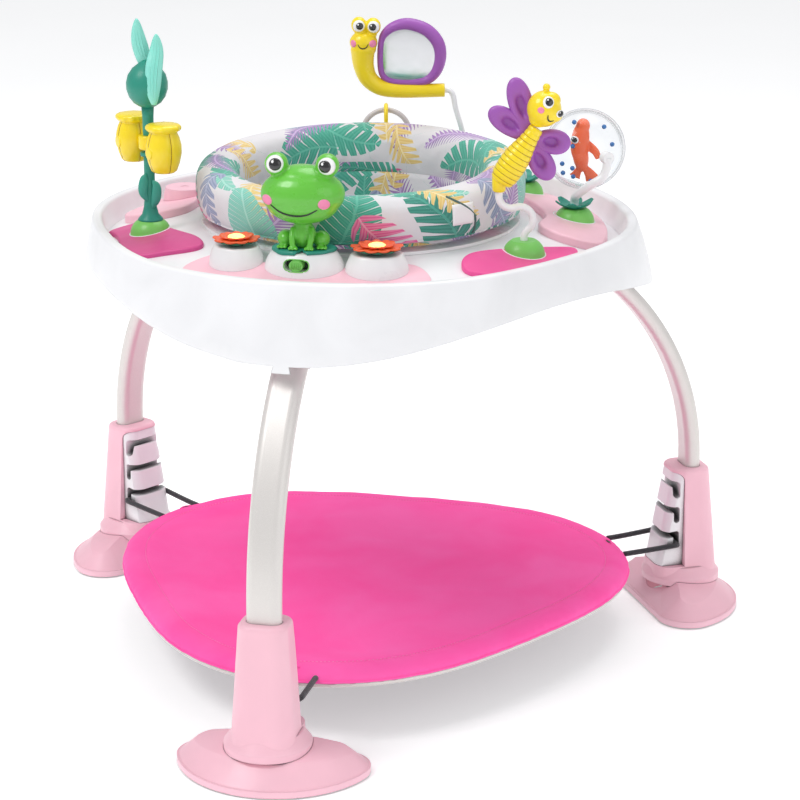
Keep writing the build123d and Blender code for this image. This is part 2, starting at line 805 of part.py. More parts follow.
def top_leaf(right, base_z, tip_z, half_width, lean, forward):
    """A tall flat leaf standing on the bulb."""
    plane = facing_plane(leaf, forward=forward, z=0)
    middle = (base_z * 2 + tip_z) / 3
    with BuildPart() as blade:
        with BuildSketch(plane.offset(-1.2)):
            with BuildLine():
                Spline((right, base_z), (right - half_width + lean * 0.4, middle + 12), (right + lean, tip_z),
                       tangents=[(-1, 0.6), (0.5, 1)])
                Spline((right + lean, tip_z), (right + half_width + lean * 0.4, middle + 10), (right, base_z),
                       tangents=[(0.4, -1), (-1, -0.6)])
            make_face()
        extrude(amount=2.4)
    return blade.part


with BuildPart() as top_leaves:
    add(top_leaf(-5, 644.2, 691, 7.5, -3, 0))
    add(top_leaf(9, 643, 675, 7.5, 3, 3))
top_leaves.part.label = "top_leaves"
export_step(top_leaves.part, "parts/top_leaves.step")

with BuildPart() as honey_pots:
    with Locations((leaf[0], leaf[1], pot_z)):
        Cylinder(11, pot_collar)
        Box(2 * pot_reach, 9, 10, rotation=(0, 0, pot_turn))
    for turn in (pot_turn, pot_turn + 180):
        out = Vector(cos(radians(turn)), sin(radians(turn)), 0)
        centre = Vector(leaf[0], leaf[1], 0) + out * pot_reach
        with BuildSketch(Plane(origin=centre, x_dir=out, z_dir=(out.Y, -out.X, 0))):
            with BuildLine():
                Polyline((0, pot_z - 24), (11, pot_z - 24))
                Spline((11, pot_z - 24), (pot_radius, pot_z - 2), (14, pot_z + 18), tangents=[(1, 0.3), (-0.4, 1)])
                Polyline((14, pot_z + 18), (17, pot_z + 19), (17, pot_z + 26), (11, pot_z + 26),
                         (11, pot_z + 14), (0, pot_z + 14), (0, pot_z - 24))
            make_face()
        revolve(axis=Axis(centre, (0, 0, 1)))
    with Locations((leaf[0], leaf[1], pot_z)):
        Cylinder(stalk_radius + running_gap, 60, mode=Mode.SUBTRACT)
honey_pots.part.label = "honey_pots"
export_step(honey_pots.part, "parts/honey_pots.step")


# ---------------------------------------------------------------------------
# Dragonfly toy
# ---------------------------------------------------------------------------

dragonfly = TOYS["dragonfly"]
joint_right = -26.0         # the stalk's upright end, in the dragonfly's tail
joint_z = 529.0
joint_length = 12.0
neck = (11.0, 597.0)
tail = (-23.0, 545.0)
head = (18.5, 616.0)
head_radius = 17.0

# the stalk's S bend above the base: (radius, turn in degrees), left turns positive
bend_start = (0.0, dragonfly[2] + 14)
STALK_BENDS = [(11.0, -50.0), (13.5, 160.0), (12.395, -110.0)]


def turning_arc(start, heading, radius, turn):
    """An arc from a point along a heading; returns the point and heading it ends on."""
    side = 1 if turn > 0 else -1
    to_centre = radians(heading + 90 * side)
    centre = (start[0] + radius * cos(to_centre), start[1] + radius * sin(to_centre))
    CenterArc(centre, radius, heading - 90 * side, turn)
    from_centre = radians(heading + turn - 90 * side)
    return (centre[0] + radius * cos(from_centre), centre[1] + radius * sin(from_centre)), heading + turn


with BuildPart() as dragonfly_stalk:
    plane = facing_plane(dragonfly, z=0)
    with BuildLine(plane) as path:
        point, heading = bend_start, 90.0
        Line((0, dragonfly[2] - 9), bend_start)
        for radius, turn in STALK_BENDS:
            point, heading = turning_arc(point, heading, radius, turn)
        Line(point, (point[0], joint_z + joint_length))
    with BuildSketch(Plane(origin=path.line @ 0, z_dir=path.line % 0)):
        Circle(rod_radius)
    sweep()
dragonfly_stalk.part.label = "dragonfly_stalk"
export_step(dragonfly_stalk.part, "parts/dragonfly_stalk.step")


def on_body(share):
    """A point of the dragonfly's body axis, from the tail (0) to the neck (1)."""
    return tail[0] + (neck[0] - tail[0]) * share, tail[1] + (neck[1] - tail[1]) * share


with BuildPart() as dragonfly_body:
    plane = facing_plane(dragonfly, z=0)
    length = sqrt((neck[0] - tail[0]) ** 2 + (neck[1] - tail[1]) ** 2)
    along = plane.from_local_coords(Vector(neck[0] - tail[0], neck[1] - tail[1], 0)) - plane.origin
    body_plane = Plane(origin=plane.from_local_coords((tail[0], tail[1], 0)), x_dir=along.normalized(),
                       z_dir=plane.z_dir)
    with BuildSketch(body_plane):
        with BuildLine():
            Spline((-5, 0), (4, 9.5), (22, 14.5), (45, 10), (length, 6), tangents=[(0, 1), (1, -0.2)])
            Polyline((length, 6), (length + 4, 6), (length + 4, 0), (-5, 0))
        make_face()
    revolve(axis=Axis(body_plane.origin, body_plane.x_dir))
    with Locations(plane.from_local_coords((head[0], head[1], 0))):
        Sphere(head_radius)
    with Locations(plane.from_local_coords((head[0] + 1.5, head[1] + head_radius + 4, 0))):
        Sphere(4)
    with Locations(plane.from_local_coords((head[0] + 1, head[1] + head_radius, 0))):
        Cylinder(2, 10)
    # socket that turns on the stalk's end
    with Locations(plane.from_local_coords((joint_right, joint_z + 10, 0))):
        Cylinder(7, 14)
    with Locations(plane.from_local_coords((joint_right, joint_z + 1, 0))):
        Cylinder(rod_radius + running_gap, 2 * joint_length - 1, mode=Mode.SUBTRACT)
dragonfly_body.part.label = "dragonfly_body"
export_step(dragonfly_body.part, "parts/dragonfly_body.step")

WINGS = [(-8.5, 646.0, 0.95), (-35.0, 612.0, 0.75), (43.0, 586.0, 0.8), (25.0, 548.0, 0.6)]
wing_back = 9.0             # the wings stand behind the body's axis

with BuildPart() as dragonfly_wings:
    plane = facing_plane(dragonfly, forward=-wing_back, z=0)
    for tip_x, tip_z, share in WINGS:
        root_x, root_z = on_body(share)
        reach = sqrt((tip_x - root_x) ** 2 + (tip_z - root_z) ** 2)
        along = plane.from_local_coords((tip_x - root_x, tip_z - root_z, 0)) - plane.origin
        wing_plane = Plane(origin=plane.from_local_coords((root_x, root_z, 0)), x_dir=along.normalized(),
                           z_dir=plane.z_dir)
        with BuildSketch(wing_plane.offset(-3)):
            with BuildLine():
                Spline((0, 3), (reach * 0.6, 10.5), (reach, 0), (reach * 0.6, -10.5), (0, -3), tangents=[(1, 0.3), (-1, 0.3)])
                Line((0, -3), (0, 3))
            make_face()
        extrude(amount=6)
    add(dragonfly_body.part, mode=Mode.SUBTRACT)
dragonfly_wings.part.label = "dragonfly_wings"
export_step(dragonfly_wings.part, "parts/dragonfly_wings.step")

# ---------------------------------------------------------------------------
# Fish ball toy
# ---------------------------------------------------------------------------

fish = TOYS["fish"]
ball_radius = 43.5
ball_wall = 2.0
ball_right = 11.0
ball_forward = -20.0
ball_z = 541.5
arm_right = 29.0
arm_forward = 20.0
arm_radius = 4.6
axle_radius = 2.5

ball_centre = facing_plane(fish, ball_forward, ball_right, ball_z).origin
arm_tip = facing_plane(fish, arm_forward, arm_right, ball_z).origin
axle_dir = (arm_tip - ball_centre).normalized()
axle_plane = Plane(origin=ball_centre, x_dir=(0, 0, 1), z_dir=axle_dir)

with BuildPart() as fish_ball:
    with Locations(ball_centre):
        Sphere(ball_radius)
        Sphere(ball_radius - ball_wall, mode=Mode.SUBTRACT)
    with BuildSketch(axle_plane.offset(ball_radius - 3)):
        Circle(6)
    extrude(amount=4.5)
    with BuildSketch(axle_plane.offset(ball_radius - 8)):
        Circle(axle_radius + running_gap)
    extrude(amount=20, mode=Mode.SUBTRACT)
fish_ball.part.label = "fish_ball"
export_step(fish_ball.part, "parts/fish_ball.step")

with BuildPart() as fish_arm:
    foot_point = facing_plane(fish, z=fish[2] + base_height + 3).origin
    low_bend = facing_plane(fish, forward=7, right=1, z=fish[2] + base_height + 14).origin
    tip = ball_centre + axle_dir * (ball_radius + 8)
    halfway = (low_bend * 0.45 + tip * 0.55 - ball_centre).normalized()
    with BuildLine() as path:
        Spline(foot_point, low_bend, ball_centre + halfway * (ball_radius + arm_radius + 7), tip,
               tangents=[(0, 0, 1), (0, 0, 1)])
    with BuildSketch(Plane(origin=path.line @ 0, z_dir=path.line % 0)):
        Circle(arm_radius)
    sweep()
    with BuildSketch(Plane.XY.offset(fish[2] - 9)):
        with Locations((fish[0], fish[1])):
            Circle(rod_radius)
    extrude(amount=base_height + 14)
    with BuildSketch(axle_plane.offset(ball_radius + 2.2)):
        Circle(6.5)
    extrude(amount=9)
    with BuildSketch(axle_plane.offset(ball_radius - 4)):
        Circle(axle_radius)
    extrude(amount=8)
fish_arm.part.label = "fish_arm"
export_step(fish_arm.part, "parts/fish_arm.step")

with BuildPart() as fish_figure:
    middle = facing_plane(fish, ball_forward, ball_right - 5, ball_z)
    with Locations(upright(middle)):
        add(spheroid(19, 9))
    with BuildSketch(middle.offset(-1.5)):
        with BuildLine():
            Polyline((-2, -14), (-8, -29), (2, -25), (12, -28), (5, -14), close=True)
        make_face()
    extrude(amount=3)
fish_figure.part.label = "fish_figure"
export_step(fish_figure.part, "parts/fish_figure.step")

bead_radius = 2.6
BEADS = [(-26, 12), (-31, -2), (-24, -16), (-12, -28), (4, -36), (20, -27), (29, -12), (31, 6), (22, 22), (-14, 26)]
with BuildPart() as ball_beads:
    middle = facing_plane(fish, ball_forward, ball_right, ball_z)
    for right, up in BEADS:
        with Locations(middle.from_local_coords((right, up, 6))):
            Sphere(bead_radius)
ball_beads.part.label = "ball_beads"
export_step(ball_beads.part, "parts/ball_beads.step")


# ---------------------------------------------------------------------------
# Snail toy and the toy loop
# ---------------------------------------------------------------------------

snail = TOYS["snail"]
tail_right = -92.0
tail_z = 584.0
shell_right = -127.0
shell_z = 627.5
shell_radius = 36.0
mirror_radius = 28.5
mirror_right = -129.5
mirror_z = 623.5
neck_right = -179.5
body_radius = 8.0
shell_half = 7.0
wire_radius = 3.0

with BuildPart() as snail_wire:
    plane = facing_plane(snail, z=0)
    with BuildLine() as path:
        Spline(*points_on(plane, (0, snail[2] + 15), (-30, 503), (-63, 520), (-71, 544), (-78, 569), (-87, tail_z)),
               tangents=[(0, 0, 1), -plane.x_dir])
        Line(*points_on(plane, (-87, tail_z), (-101, tail_z)))
    with BuildSketch(Plane(origin=path.line @ 0, z_dir=path.line % 0)):
        Circle(wire_radius)
    sweep()
    with BuildSketch(Plane.XY.offset(snail[2] - 9)):
        with Locations(snail[:2]):
            Circle(wire_radius)
    extrude(amount=24)
snail_wire.part.label = "snail_wire"
export_step(snail_wire.part, "parts/snail_wire.step")

with BuildPart() as snail_body:
    plane = facing_plane(snail, z=0)
    with BuildLine() as path:
        Spline(*points_on(plane, (tail_right, tail_z), (-135, tail_z), (-165, tail_z + 6), (neck_right, 610),
                          (neck_right, 628)), tangents=[-plane.x_dir, (0, 0, 1)])
    with BuildSketch(Plane(origin=path.line @ 0, z_dir=path.line % 0)):
        Circle(body_radius)
    sweep()
    with Locations(plane.from_local_coords((neck_right, 638, 0))):
        Sphere(14.5)
    for right, up in ((neck_right - 6.5, 655), (neck_right + 6.5, 654.5)):
        with Locations(plane.from_local_coords((right, up, 0))):
            Sphere(8)
    # blind socket for the wire's end
    with BuildSketch(Plane(origin=plane.from_local_coords((tail_right + 3, tail_z, 0)), z_dir=-plane.x_dir)):
        Circle(wire_radius + running_gap)
    extrude(amount=15, mode=Mode.SUBTRACT)
snail_body.part.label = "snail_body"
export_step(snail_body.part, "parts/snail_body.step")

with BuildPart() as snail_shell:
    plane = facing_plane(snail, z=0)
    with BuildSketch(plane.offset(-shell_half)):
        with Locations((shell_right, shell_z)):
            Circle(shell_radius)
        with Locations((mirror_right, mirror_z)):
            Circle(mirror_radius, mode=Mode.SUBTRACT)
    extrude(amount=2 * shell_half)
    fillet(snail_shell.edges().filter_by(GeomType.CIRCLE), radius=1.2)
    add(snail_body.part, mode=Mode.SUBTRACT)
snail_shell.part.label = "snail_shell"
export_step(snail_shell.part, "parts/snail_shell.step")

with BuildPart() as snail_mirror:
    plane = facing_plane(snail, z=0)
    with BuildSketch(plane.offset(-shell_half + 2)):
        with Locations((mirror_right, mirror_z)):
            Circle(mirror_radius - 0.1)
    extrude(amount=2 * shell_half - 4)
    add(snail_body.part, mode=Mode.SUBTRACT)
snail_mirror.part.label = "snail_mirror"
export_step(snail_mirror.part, "parts/snail_mirror.step")

arch_radius = 26.5
arch_centre = Vector(-26, 219, 521)
arch_tube = 3.0
arch_dir = Vector(cos(radians(toy_turn)), sin(radians(toy_turn)), 0)

with BuildPart() as toy_loop:
    plane = Plane(origin=(arch_centre.X, arch_centre.Y, 0), x_dir=arch_dir, z_dir=(arch_dir.Y, -arch_dir.X, 0))
    with BuildLine(plane) as path:
        Line((-arch_radius, 462), (-arch_radius, arch_centre.Z))
        ThreePointArc((-arch_radius, arch_centre.Z), (0, arch_centre.Z + arch_radius), (arch_radius, arch_centre.Z))
        Line((arch_radius, arch_centre.Z), (arch_radius, 462))
    with BuildSketch(Plane(origin=path.line @ 0, z_dir=(0, 0, 1))):
        Circle(arch_tube)
    sweep()
    for side in (-arch_radius, arch_radius):
        with BuildSketch(Plane(origin=plane.from_local_coords((side, 455, 0)), z_dir=(0, 0, 1))):
            Circle(8)
        extrude(amount=11)
    add(under_pan(0.02), mode=Mode.SUBTRACT)
toy_loop.part.label = "toy_loop"
export_step(toy_loop.part, "parts/toy_loop.step")

link_wire = 2.3
link_radius = 12.2          # centre line of the link
link_gap = 0.3
link_centre_z = arch_centre.Z + arch_radius + arch_tube + link_gap + link_wire - link_radius

with BuildPart() as link_ring:
    link_plane = Plane(origin=(arch_centre.X, arch_centre.Y, link_centre_z),
                       x_dir=(-arch_dir.Y, arch_dir.X, 0), z_dir=arch_dir)
    with BuildSketch(link_plane.offset(-2)):
        Circle(link_radius + link_wire)
        Circle(link_radius - link_wire, mode=Mode.SUBTRACT)
    extrude(amount=4)
link_ring.part.label = "link_ring"
export_step(link_ring.part, "parts/link_ring.step")


# ---------------------------------------------------------------------------
# Frog console
# ---------------------------------------------------------------------------

console_x, console_y = -8.0, -197.0
console_low_z = 458.0
console_seat_z = 465.0
console_top_z = 487.5
BUTTONS = {"left": (-81.0, -190.0, 29.5, 25.0), "right": (65.0, -192.0, 32.0, 27.0)}   # x, y, half sizes
button_travel = 3.0
button_top_z = 486.0
stem_radius = 8.0
frog_facing = 6.0           # the frog looks this far round from -Y


def console_frame(x, y, z):
    """A level plane at a console dome, with its local y axis pointing at the seat."""
    inward = Vector(-x, -y, 0).normalized()
    return Plane(origin=(x, y, z), x_dir=(inward.Y, -inward.X, 0), z_dir=(0, 0, 1))


def console_dome(x, y, half_x, half_y, top_z, top_share):
    """A low dome with a flat top."""
    with BuildPart() as dome:
        for z, share in ((console_low_z, 1.0), (console_seat_z + 4, 1.0), (top_z, top_share)):
            with BuildSketch(console_frame(x, y, z)):
                Ellipse(half_x * share, half_y * share)
        loft()
        fillet(dome.edges().group_by(Axis.Z)[-1], radius=3)
    return dome.part


switch_z = 477.0
switch_x = console_x - 1.0
bay_z = 479.8
bay_height = 11.0
board_y = console_y - 14.5
slot_half = 12.5
slot_half_height = 5.5

with BuildPart() as console_shell:
    add(console_dome(console_x, console_y, 41, 32, console_top_z, 0.76))
    for x, y, half_x, half_y in BUTTONS.values():
        add(console_dome(x, y, half_x, half_y, button_top_z, 0.8))
    add(under_pan(PAD_LIFTS["front"] + 0.02), mode=Mode.SUBTRACT)
    with Locations((0, 0, hub_top_z)):
        Cylinder(seat_flange_r + 1, 30, mode=Mode.SUBTRACT)
    for x, y, half_x, half_y in BUTTONS.values():
        with Locations((x, y, button_top_z)):
            Cylinder(stem_radius + running_gap, 24, mode=Mode.SUBTRACT)
    # slot for the mode switch, in the front of the middle dome
    with BuildSketch(Plane.XZ.offset(-console_y + 10)):
        with Locations((switch_x, switch_z)):
            SlotOverall(2 * slot_half, 2 * slot_half_height)
    extrude(amount=40, mode=Mode.SUBTRACT)
    # bay for the cells and the board, open to the switch
    with Locations((console_x, console_y, bay_z)):
        Box(46, 23, bay_height, mode=Mode.SUBTRACT)
    with Locations((console_x, board_y, bay_z)):
        Box(32, 9, bay_height, mode=Mode.SUBTRACT)
console_shell.part.label = "console_shell"
export_step(console_shell.part, "parts/console_shell.step")

cell_radius = 5.2
cell_length = 44.0
with BuildPart() as battery_cells:
    with BuildSketch(Plane.YZ.offset(console_x - cell_length / 2)):
        with Locations((console_y - 5.5, bay_z), (console_y + 5.5, bay_z)):
            Circle(cell_radius)
    extrude(amount=cell_length)
battery_cells.part.label = "battery_cells"
export_step(battery_cells.part, "parts/battery_cells.step")

with BuildPart() as circuit_board:
    with Locations((console_x, board_y, bay_z)):
        Box(30, 1.6, 9)
circuit_board.part.label = "circuit_board"
export_step(circuit_board.part, "parts/circuit_board.step")

with BuildPart() as mode_switch:
    with BuildSketch(Plane.XZ.offset(-console_y + 18)):
        with Locations((switch_x, switch_z)):
            SlotOverall(14, 2 * (slot_half_height - running_gap))
    extrude(amount=12.5)
mode_switch.part.label = "mode_switch"
export_step(mode_switch.part, "parts/mode_switch.step")

with BuildPart() as lily_leaf:
    with BuildSketch(console_frame(console_x, console_y, console_top_z + 0.05)):
        Ellipse(30.5, 23)
        with BuildLine():
            Polyline((-5, -26), (0, -12), (5, -26), close=True)
        make_face(mode=Mode.SUBTRACT)
    extrude(amount=3)
lily_leaf.part.label = "lily_leaf"
export_step(lily_leaf.part, "parts/lily_leaf.step")

frog_foot_z = console_top_z + 3.1
neck_z = 515.0
head_z = 545.5
head_y = console_y - 4.5
neck_pin = 4.0


def frog_plane(forward=0.0, right=0.0, z=0.0):
    """The upright plane that the frog faces out of."""
    t = radians(frog_facing)
    origin = Vector(console_x, head_y, z) + Vector(cos(t), sin(t), 0) * right + Vector(sin(t), -cos(t), 0) * forward
    return Plane(origin=origin, x_dir=(cos(t), sin(t), 0), z_dir=(sin(t), -cos(t), 0))


with BuildPart() as frog_body:
    with Locations(upright(frog_plane(z=frog_foot_z + 9))):
        add(spheroid(12, 14))
    for side in (-1, 1):
        with Locations(frog_plane(right=side * 19, z=frog_foot_z + 8)):
            Sphere(9)
        with Locations(frog_plane(right=side * 19, forward=9, z=frog_foot_z + 3)):
            Sphere(6.5)
        with Locations(frog_plane(right=side * 7, forward=12, z=frog_foot_z + 3)):
            Sphere(5.5)
    with Locations((console_x, head_y, frog_foot_z + 13.4)):
        Cylinder(10.5, 18)
    with Locations((console_x, head_y, frog_foot_z + 16)):
        Cylinder(neck_pin, 26)
    with Locations((console_x, head_y, frog_foot_z - 20)):
        Box(120, 80, 40, mode=Mode.SUBTRACT)
frog_body.part.label = "frog_body"
export_step(frog_body.part, "parts/frog_body.step")

with BuildPart() as frog_head:
    with Locations(frog_plane(z=head_z)):
        add(spheroid(42.5, 29))
    for right in (-25.5, 25.5):
        with Locations(frog_plane(right=right, z=head_z + 31)):
            Sphere(12)
    with Locations((console_x, head_y, frog_foot_z + 8.2)):
        Cylinder(60, 30, mode=Mode.SUBTRACT)
    with Locations((console_x, head_y, frog_foot_z + 14)):
        Cylinder(neck_pin + running_gap, 34, mode=Mode.SUBTRACT)
frog_head.part.label = "frog_head"
export_step(frog_head.part, "parts/frog_head.step")


def flower_button(x, y, half_x, half_y):
    """A flower on a stem that presses into its dome."""
    petal_z = button_top_z + button_travel + 0.6
    with BuildPart() as flower:
        with BuildSketch(console_frame(x, y, petal_z)):
            Ellipse(half_x * 0.74, half_y * 0.74)
        extrude(amount=2)
        with BuildSketch(console_frame(x, y, petal_z + 2)):
            Ellipse(half_x * 0.6, half_y * 0.6)
            for turn in range(0, 360, 45):
                reach_x = half_x * 0.56 * cos(radians(turn))
                reach_y = half_y * 0.56 * sin(radians(turn))
                with Locations((reach_x, reach_y)):
                    Circle(half_x * 0.27)
        extrude(amount=3)
        with BuildSketch(console_frame(x, y, petal_z + 5)):
            Ellipse(half_x * 0.3, half_y * 0.3)
        extrude(amount=3)
        with Locations((x, y, petal_z - 6)):
            Cylinder(stem_radius, 13)
    return flower.part


for side, (x, y, half_x, half_y) in BUTTONS.items():
    piece = flower_button(x, y, half_x, half_y)
    piece.label = f"flower_button_{side}"
    export_step(piece, f"parts/flower_button_{side}.step")
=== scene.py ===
import json
import math

import bmesh
import bpy
from mathutils import Matrix, Vector, noise
from mathutils.bvhtree import BVHTree


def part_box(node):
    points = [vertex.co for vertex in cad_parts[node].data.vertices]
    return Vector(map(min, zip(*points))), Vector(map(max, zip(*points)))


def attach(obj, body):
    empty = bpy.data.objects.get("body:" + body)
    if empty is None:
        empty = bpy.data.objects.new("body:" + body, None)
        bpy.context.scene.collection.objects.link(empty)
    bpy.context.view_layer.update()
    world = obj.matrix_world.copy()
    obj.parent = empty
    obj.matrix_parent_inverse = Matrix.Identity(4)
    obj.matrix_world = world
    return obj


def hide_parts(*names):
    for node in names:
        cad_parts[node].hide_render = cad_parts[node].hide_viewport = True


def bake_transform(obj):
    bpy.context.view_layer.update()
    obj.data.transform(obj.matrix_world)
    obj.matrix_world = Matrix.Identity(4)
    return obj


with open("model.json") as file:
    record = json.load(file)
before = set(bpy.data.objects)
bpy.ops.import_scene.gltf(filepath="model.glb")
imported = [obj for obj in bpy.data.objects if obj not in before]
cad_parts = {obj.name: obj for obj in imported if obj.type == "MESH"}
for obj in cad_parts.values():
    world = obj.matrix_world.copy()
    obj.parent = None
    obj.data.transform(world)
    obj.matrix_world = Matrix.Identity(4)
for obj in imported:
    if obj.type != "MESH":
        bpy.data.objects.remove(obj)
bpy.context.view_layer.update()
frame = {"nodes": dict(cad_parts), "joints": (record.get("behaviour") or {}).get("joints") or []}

# ---------------------------------------------------------------------------
# Driving dimensions, in millimetres. mesh_object() turns them into Blender's metres.
# ---------------------------------------------------------------------------

MM = 0.001
TOY_TURN = math.radians(13.4)       # the toys face this far round from -Y
FROG_TURN = math.radians(6.0)
PIN = {j["name"]: Vector(j["pos_m"]) / MM for j in frame["joints"] if "pos_m" in j}

SEAT_R = 152.0                      # the padded ring's centre line
SEAT_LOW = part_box("seat_bolster")[0].z / MM
SEAT_HALF = 26.0                    # half the ring's width
SEAT_FRONT = 534.0
SEAT_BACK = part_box("seat_bolster")[1].z / MM
MAT_R = 286.0
MAT_LOBE = 24.0
MAT_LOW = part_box("mat_pad")[0].z / MM
MAT_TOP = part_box("mat_pad")[1].z / MM
LEG_ANGLES = {"front": -90, "right": 30, "left": 150}

LEAF_BASE = Vector((PIN["pots_turn"].x, PIN["pots_turn"].y, 467.5))
FISH_BASE = Vector((218, 68, 470))
SNAIL_BASE = Vector((141, 184, 470))
DRAGONFLY_BASE = Vector((193, -86, 470))
BASE_HEIGHT = 11.5


# ---------------------------------------------------------------------------
# Shapes: lists of vertices and faces that pieces are made from
# ---------------------------------------------------------------------------

class Shape:
    """Vertices in millimetres and faces."""

    def __init__(self, verts=(), faces=()):
        self.verts = [Vector(v) for v in verts]
        self.faces = [tuple(f) for f in faces]

    def __add__(self, other):
        shift = len(self.verts)
        moved = [tuple(i + shift for i in face) for face in other.faces]
        return Shape(self.verts + other.verts, self.faces + moved)

    def at(self, matrix):
        return Shape([matrix @ v for v in self.verts], self.faces)


def turns(count):
    """Equal angles round one full turn."""
    return [2 * math.pi * i / count for i in range(count)]


def out_from_middle(angle, radius=1.0, height=0.0):
    """A point at an angle from the jumper's front, this far from its middle."""
    return Vector((radius * math.sin(angle), -radius * math.cos(angle), height))


def oblong(angle, half_wide, half_high, power_wide, power_high):
    """A point of an ellipse whose sides are squared off by powers under 1."""
    c, s = math.cos(angle), math.sin(angle)
    return (half_wide * math.copysign(abs(c) ** power_wide, c),
            half_high * math.copysign(abs(s) ** power_high, s))


def petal_width(half, start, span, power):
    """Half width of a leaf or petal along its length, as a swelling that starts and ends part-way."""
    return lambda share: half * math.sin(math.pi * min(1, start + span * share)) ** power


def grid(rows, closed_across=True, closed_along=False, cap_start=False, cap_end=False):
    """Joins equal rows of points with quads; a row may be closed into a ring."""
    count = len(rows[0])
    verts = [v for row in rows for v in row]
    faces = []
    last = len(rows) if closed_along else len(rows) - 1
    for i in range(last):
        for j in range(count if closed_across else count - 1):
            here, beyond = i * count, ((i + 1) % len(rows)) * count
            after = (j + 1) % count
            faces.append((here + j, here + after, beyond + after, beyond + j))
    if cap_start:
        verts.append(sum((Vector(v) for v in rows[0]), Vector()) / count)
        faces += [(len(verts) - 1, (j + 1) % count, j) for j in range(count)]
    if cap_end:
        verts.append(sum((Vector(v) for v in rows[-1]), Vector()) / count)
        base = (len(rows) - 1) * count
        faces += [(len(verts) - 1, base + j, base + (j + 1) % count) for j in range(count)]
    return Shape(verts, faces)


def lathe(profile, sides=48, swell=None):
    """Turns (radius, height) points about z; swell(angle, height) scales the radius."""
    rows = []
    for radius, height in profile:
        row = []
        for angle in turns(sides):
            r = radius * (swell(angle, height) if swell else 1)
            row.append((r * math.cos(angle), r * math.sin(angle), height))
        rows.append(row)
    return grid(rows, cap_start=True, cap_end=True)


def egg(centre, halves, turn=0.0, sides=28):
    """An ellipsoid; turn rolls it about the y axis, in degrees."""
    steps = sides // 2
    profile = []
    for i in range(1, steps):
        t = math.pi * i / steps
        profile.append((math.sin(t), -math.cos(t)))
    roll = Matrix.Rotation(math.radians(turn), 4, "Y")
    return lathe(profile, sides).at(Matrix.Translation(centre) @ roll @ Matrix.Diagonal((*halves, 1)))


def smooth_path(points, steps=8, closed=False):
    """A smooth curve through points, with this many steps to a span."""
    pts = [Vector(p) for p in points]
    count = len(pts)
    path = []
    for i in range(count if closed else count - 1):
        if closed:
            p0, p1, p2, p3 = (pts[(i + k) % count] for k in (-1, 0, 1, 2))
        else:
            p1, p2 = pts[i], pts[i + 1]
            p0 = pts[i - 1] if i else p1 * 2 - p2
            p3 = pts[i + 2] if i + 2 < count else p2 * 2 - p1
        for s in range(steps):
            t = s / steps
            path.append(0.5 * (2 * p1 + (p2 - p0) * t + (2 * p0 - 5 * p1 + 4 * p2 - p3) * t * t
                               + (3 * p1 - p0 - 3 * p2 + p3) * t ** 3))
    if not closed:
        path.append(pts[-1])
    return path


def bar(path, radius, sides=14, closed=False, flat=1.0, flat_dir=None):
    """A bar along a path. radius may be a function of the share along it, and flat scales the bar
    along flat_dir."""
    count = len(path)
    rows = []
    across = None
    for i, point in enumerate(path):
        before = path[i - 1] if (i or closed) else point
        after = path[(i + 1) % count] if (i + 1 < count or closed) else point
        along = (after - before).normalized()
        if flat_dir:
            across = Vector(flat_dir) - along * along.dot(Vector(flat_dir))
        elif across is None:
            across = along.orthogonal()
        across = (across - along * along.dot(across)).normalized()
        other = along.cross(across)
        r = radius(i / max(1, count - 1)) if callable(radius) else radius
        rows.append([point + across * (r * flat * math.cos(a)) + other * (r * math.sin(a))
                     for a in turns(sides)])
    return grid(rows, closed_along=closed, cap_start=not closed, cap_end=not closed)


def pillow(outline, profile, sides=56):
    """A flat form in the x-z plane: outline(angle) gives its edge, profile its (share of edge, height) rings
    from the middle of the front, over the edge, to the middle of the back. The front looks along -y."""
    rows = []
    for share, height in profile:
        row = []
        for angle in turns(sides):
            x, z = outline(angle)
            row.append((x * share, -height, z * share))
        rows.append(row)
    return grid(rows, cap_start=True, cap_end=True)


def blade(path, width, thickness, cup=0.0, normal=(0, -1, 0)):
    """A leaf or petal along a path: width(share) across, thicker in the middle, cupped along its length."""
    front = Vector(normal)
    across_steps = 8
    edge = 0.15
    rows = []
    for i, point in enumerate(path):
        share = i / (len(path) - 1)
        along = (path[min(i + 1, len(path) - 1)] - path[max(i - 1, 0)]).normalized()
        side = along.cross(front).normalized()
        out = side.cross(along).normalized()
        half = width(share)
        ring = []
        for j in range(2 * across_steps):
            t = math.cos(math.pi * j / across_steps)
            face = 1 if j < across_steps else -1
            body = thickness * 0.5 * math.sqrt(max(0.0, 1 - t * t)) + edge
            ring.append(point + side * (half * t) + out * (face * body + cup * half * t * t))
        rows.append(ring)
    return grid(rows, cap_start=True, cap_end=True)


# ---------------------------------------------------------------------------
# Pieces: shapes with a look, a body to ride on and the CAD nodes they stand for
# ---------------------------------------------------------------------------

LOOKS = {}


def add_object(name, data):
    obj = bpy.data.objects.new(name, data)
    bpy.context.scene.collection.objects.link(obj)
    return obj


def mesh_object(name, shape):
    mesh = bpy.data.meshes.new(name)
    mesh.from_pydata([v * MM for v in shape.verts], [], shape.faces)
    work = bmesh.new()
    work.from_mesh(mesh)
    bmesh.ops.remove_doubles(work, verts=work.verts, dist=1e-6)
    bmesh.ops.recalc_face_normals(work, faces=work.faces)
    work.to_mesh(mesh)
    work.free()
    return add_object(name, mesh)


def bake(obj):
    """Applies an object's modifiers to its mesh."""
    graph = bpy.context.evaluated_depsgraph_get()
    graph.update()
    mesh = bpy.data.meshes.new_from_object(obj.evaluated_get(graph))
    obj.modifiers.clear()
    obj.data = mesh
    return obj


def thicken(obj, thickness):
    """Gives a sheet its thickness in millimetres."""
    thick = obj.modifiers.new("thick", "SOLIDIFY")
    thick.thickness = thickness * MM
    thick.offset = -1
    return bake(obj)


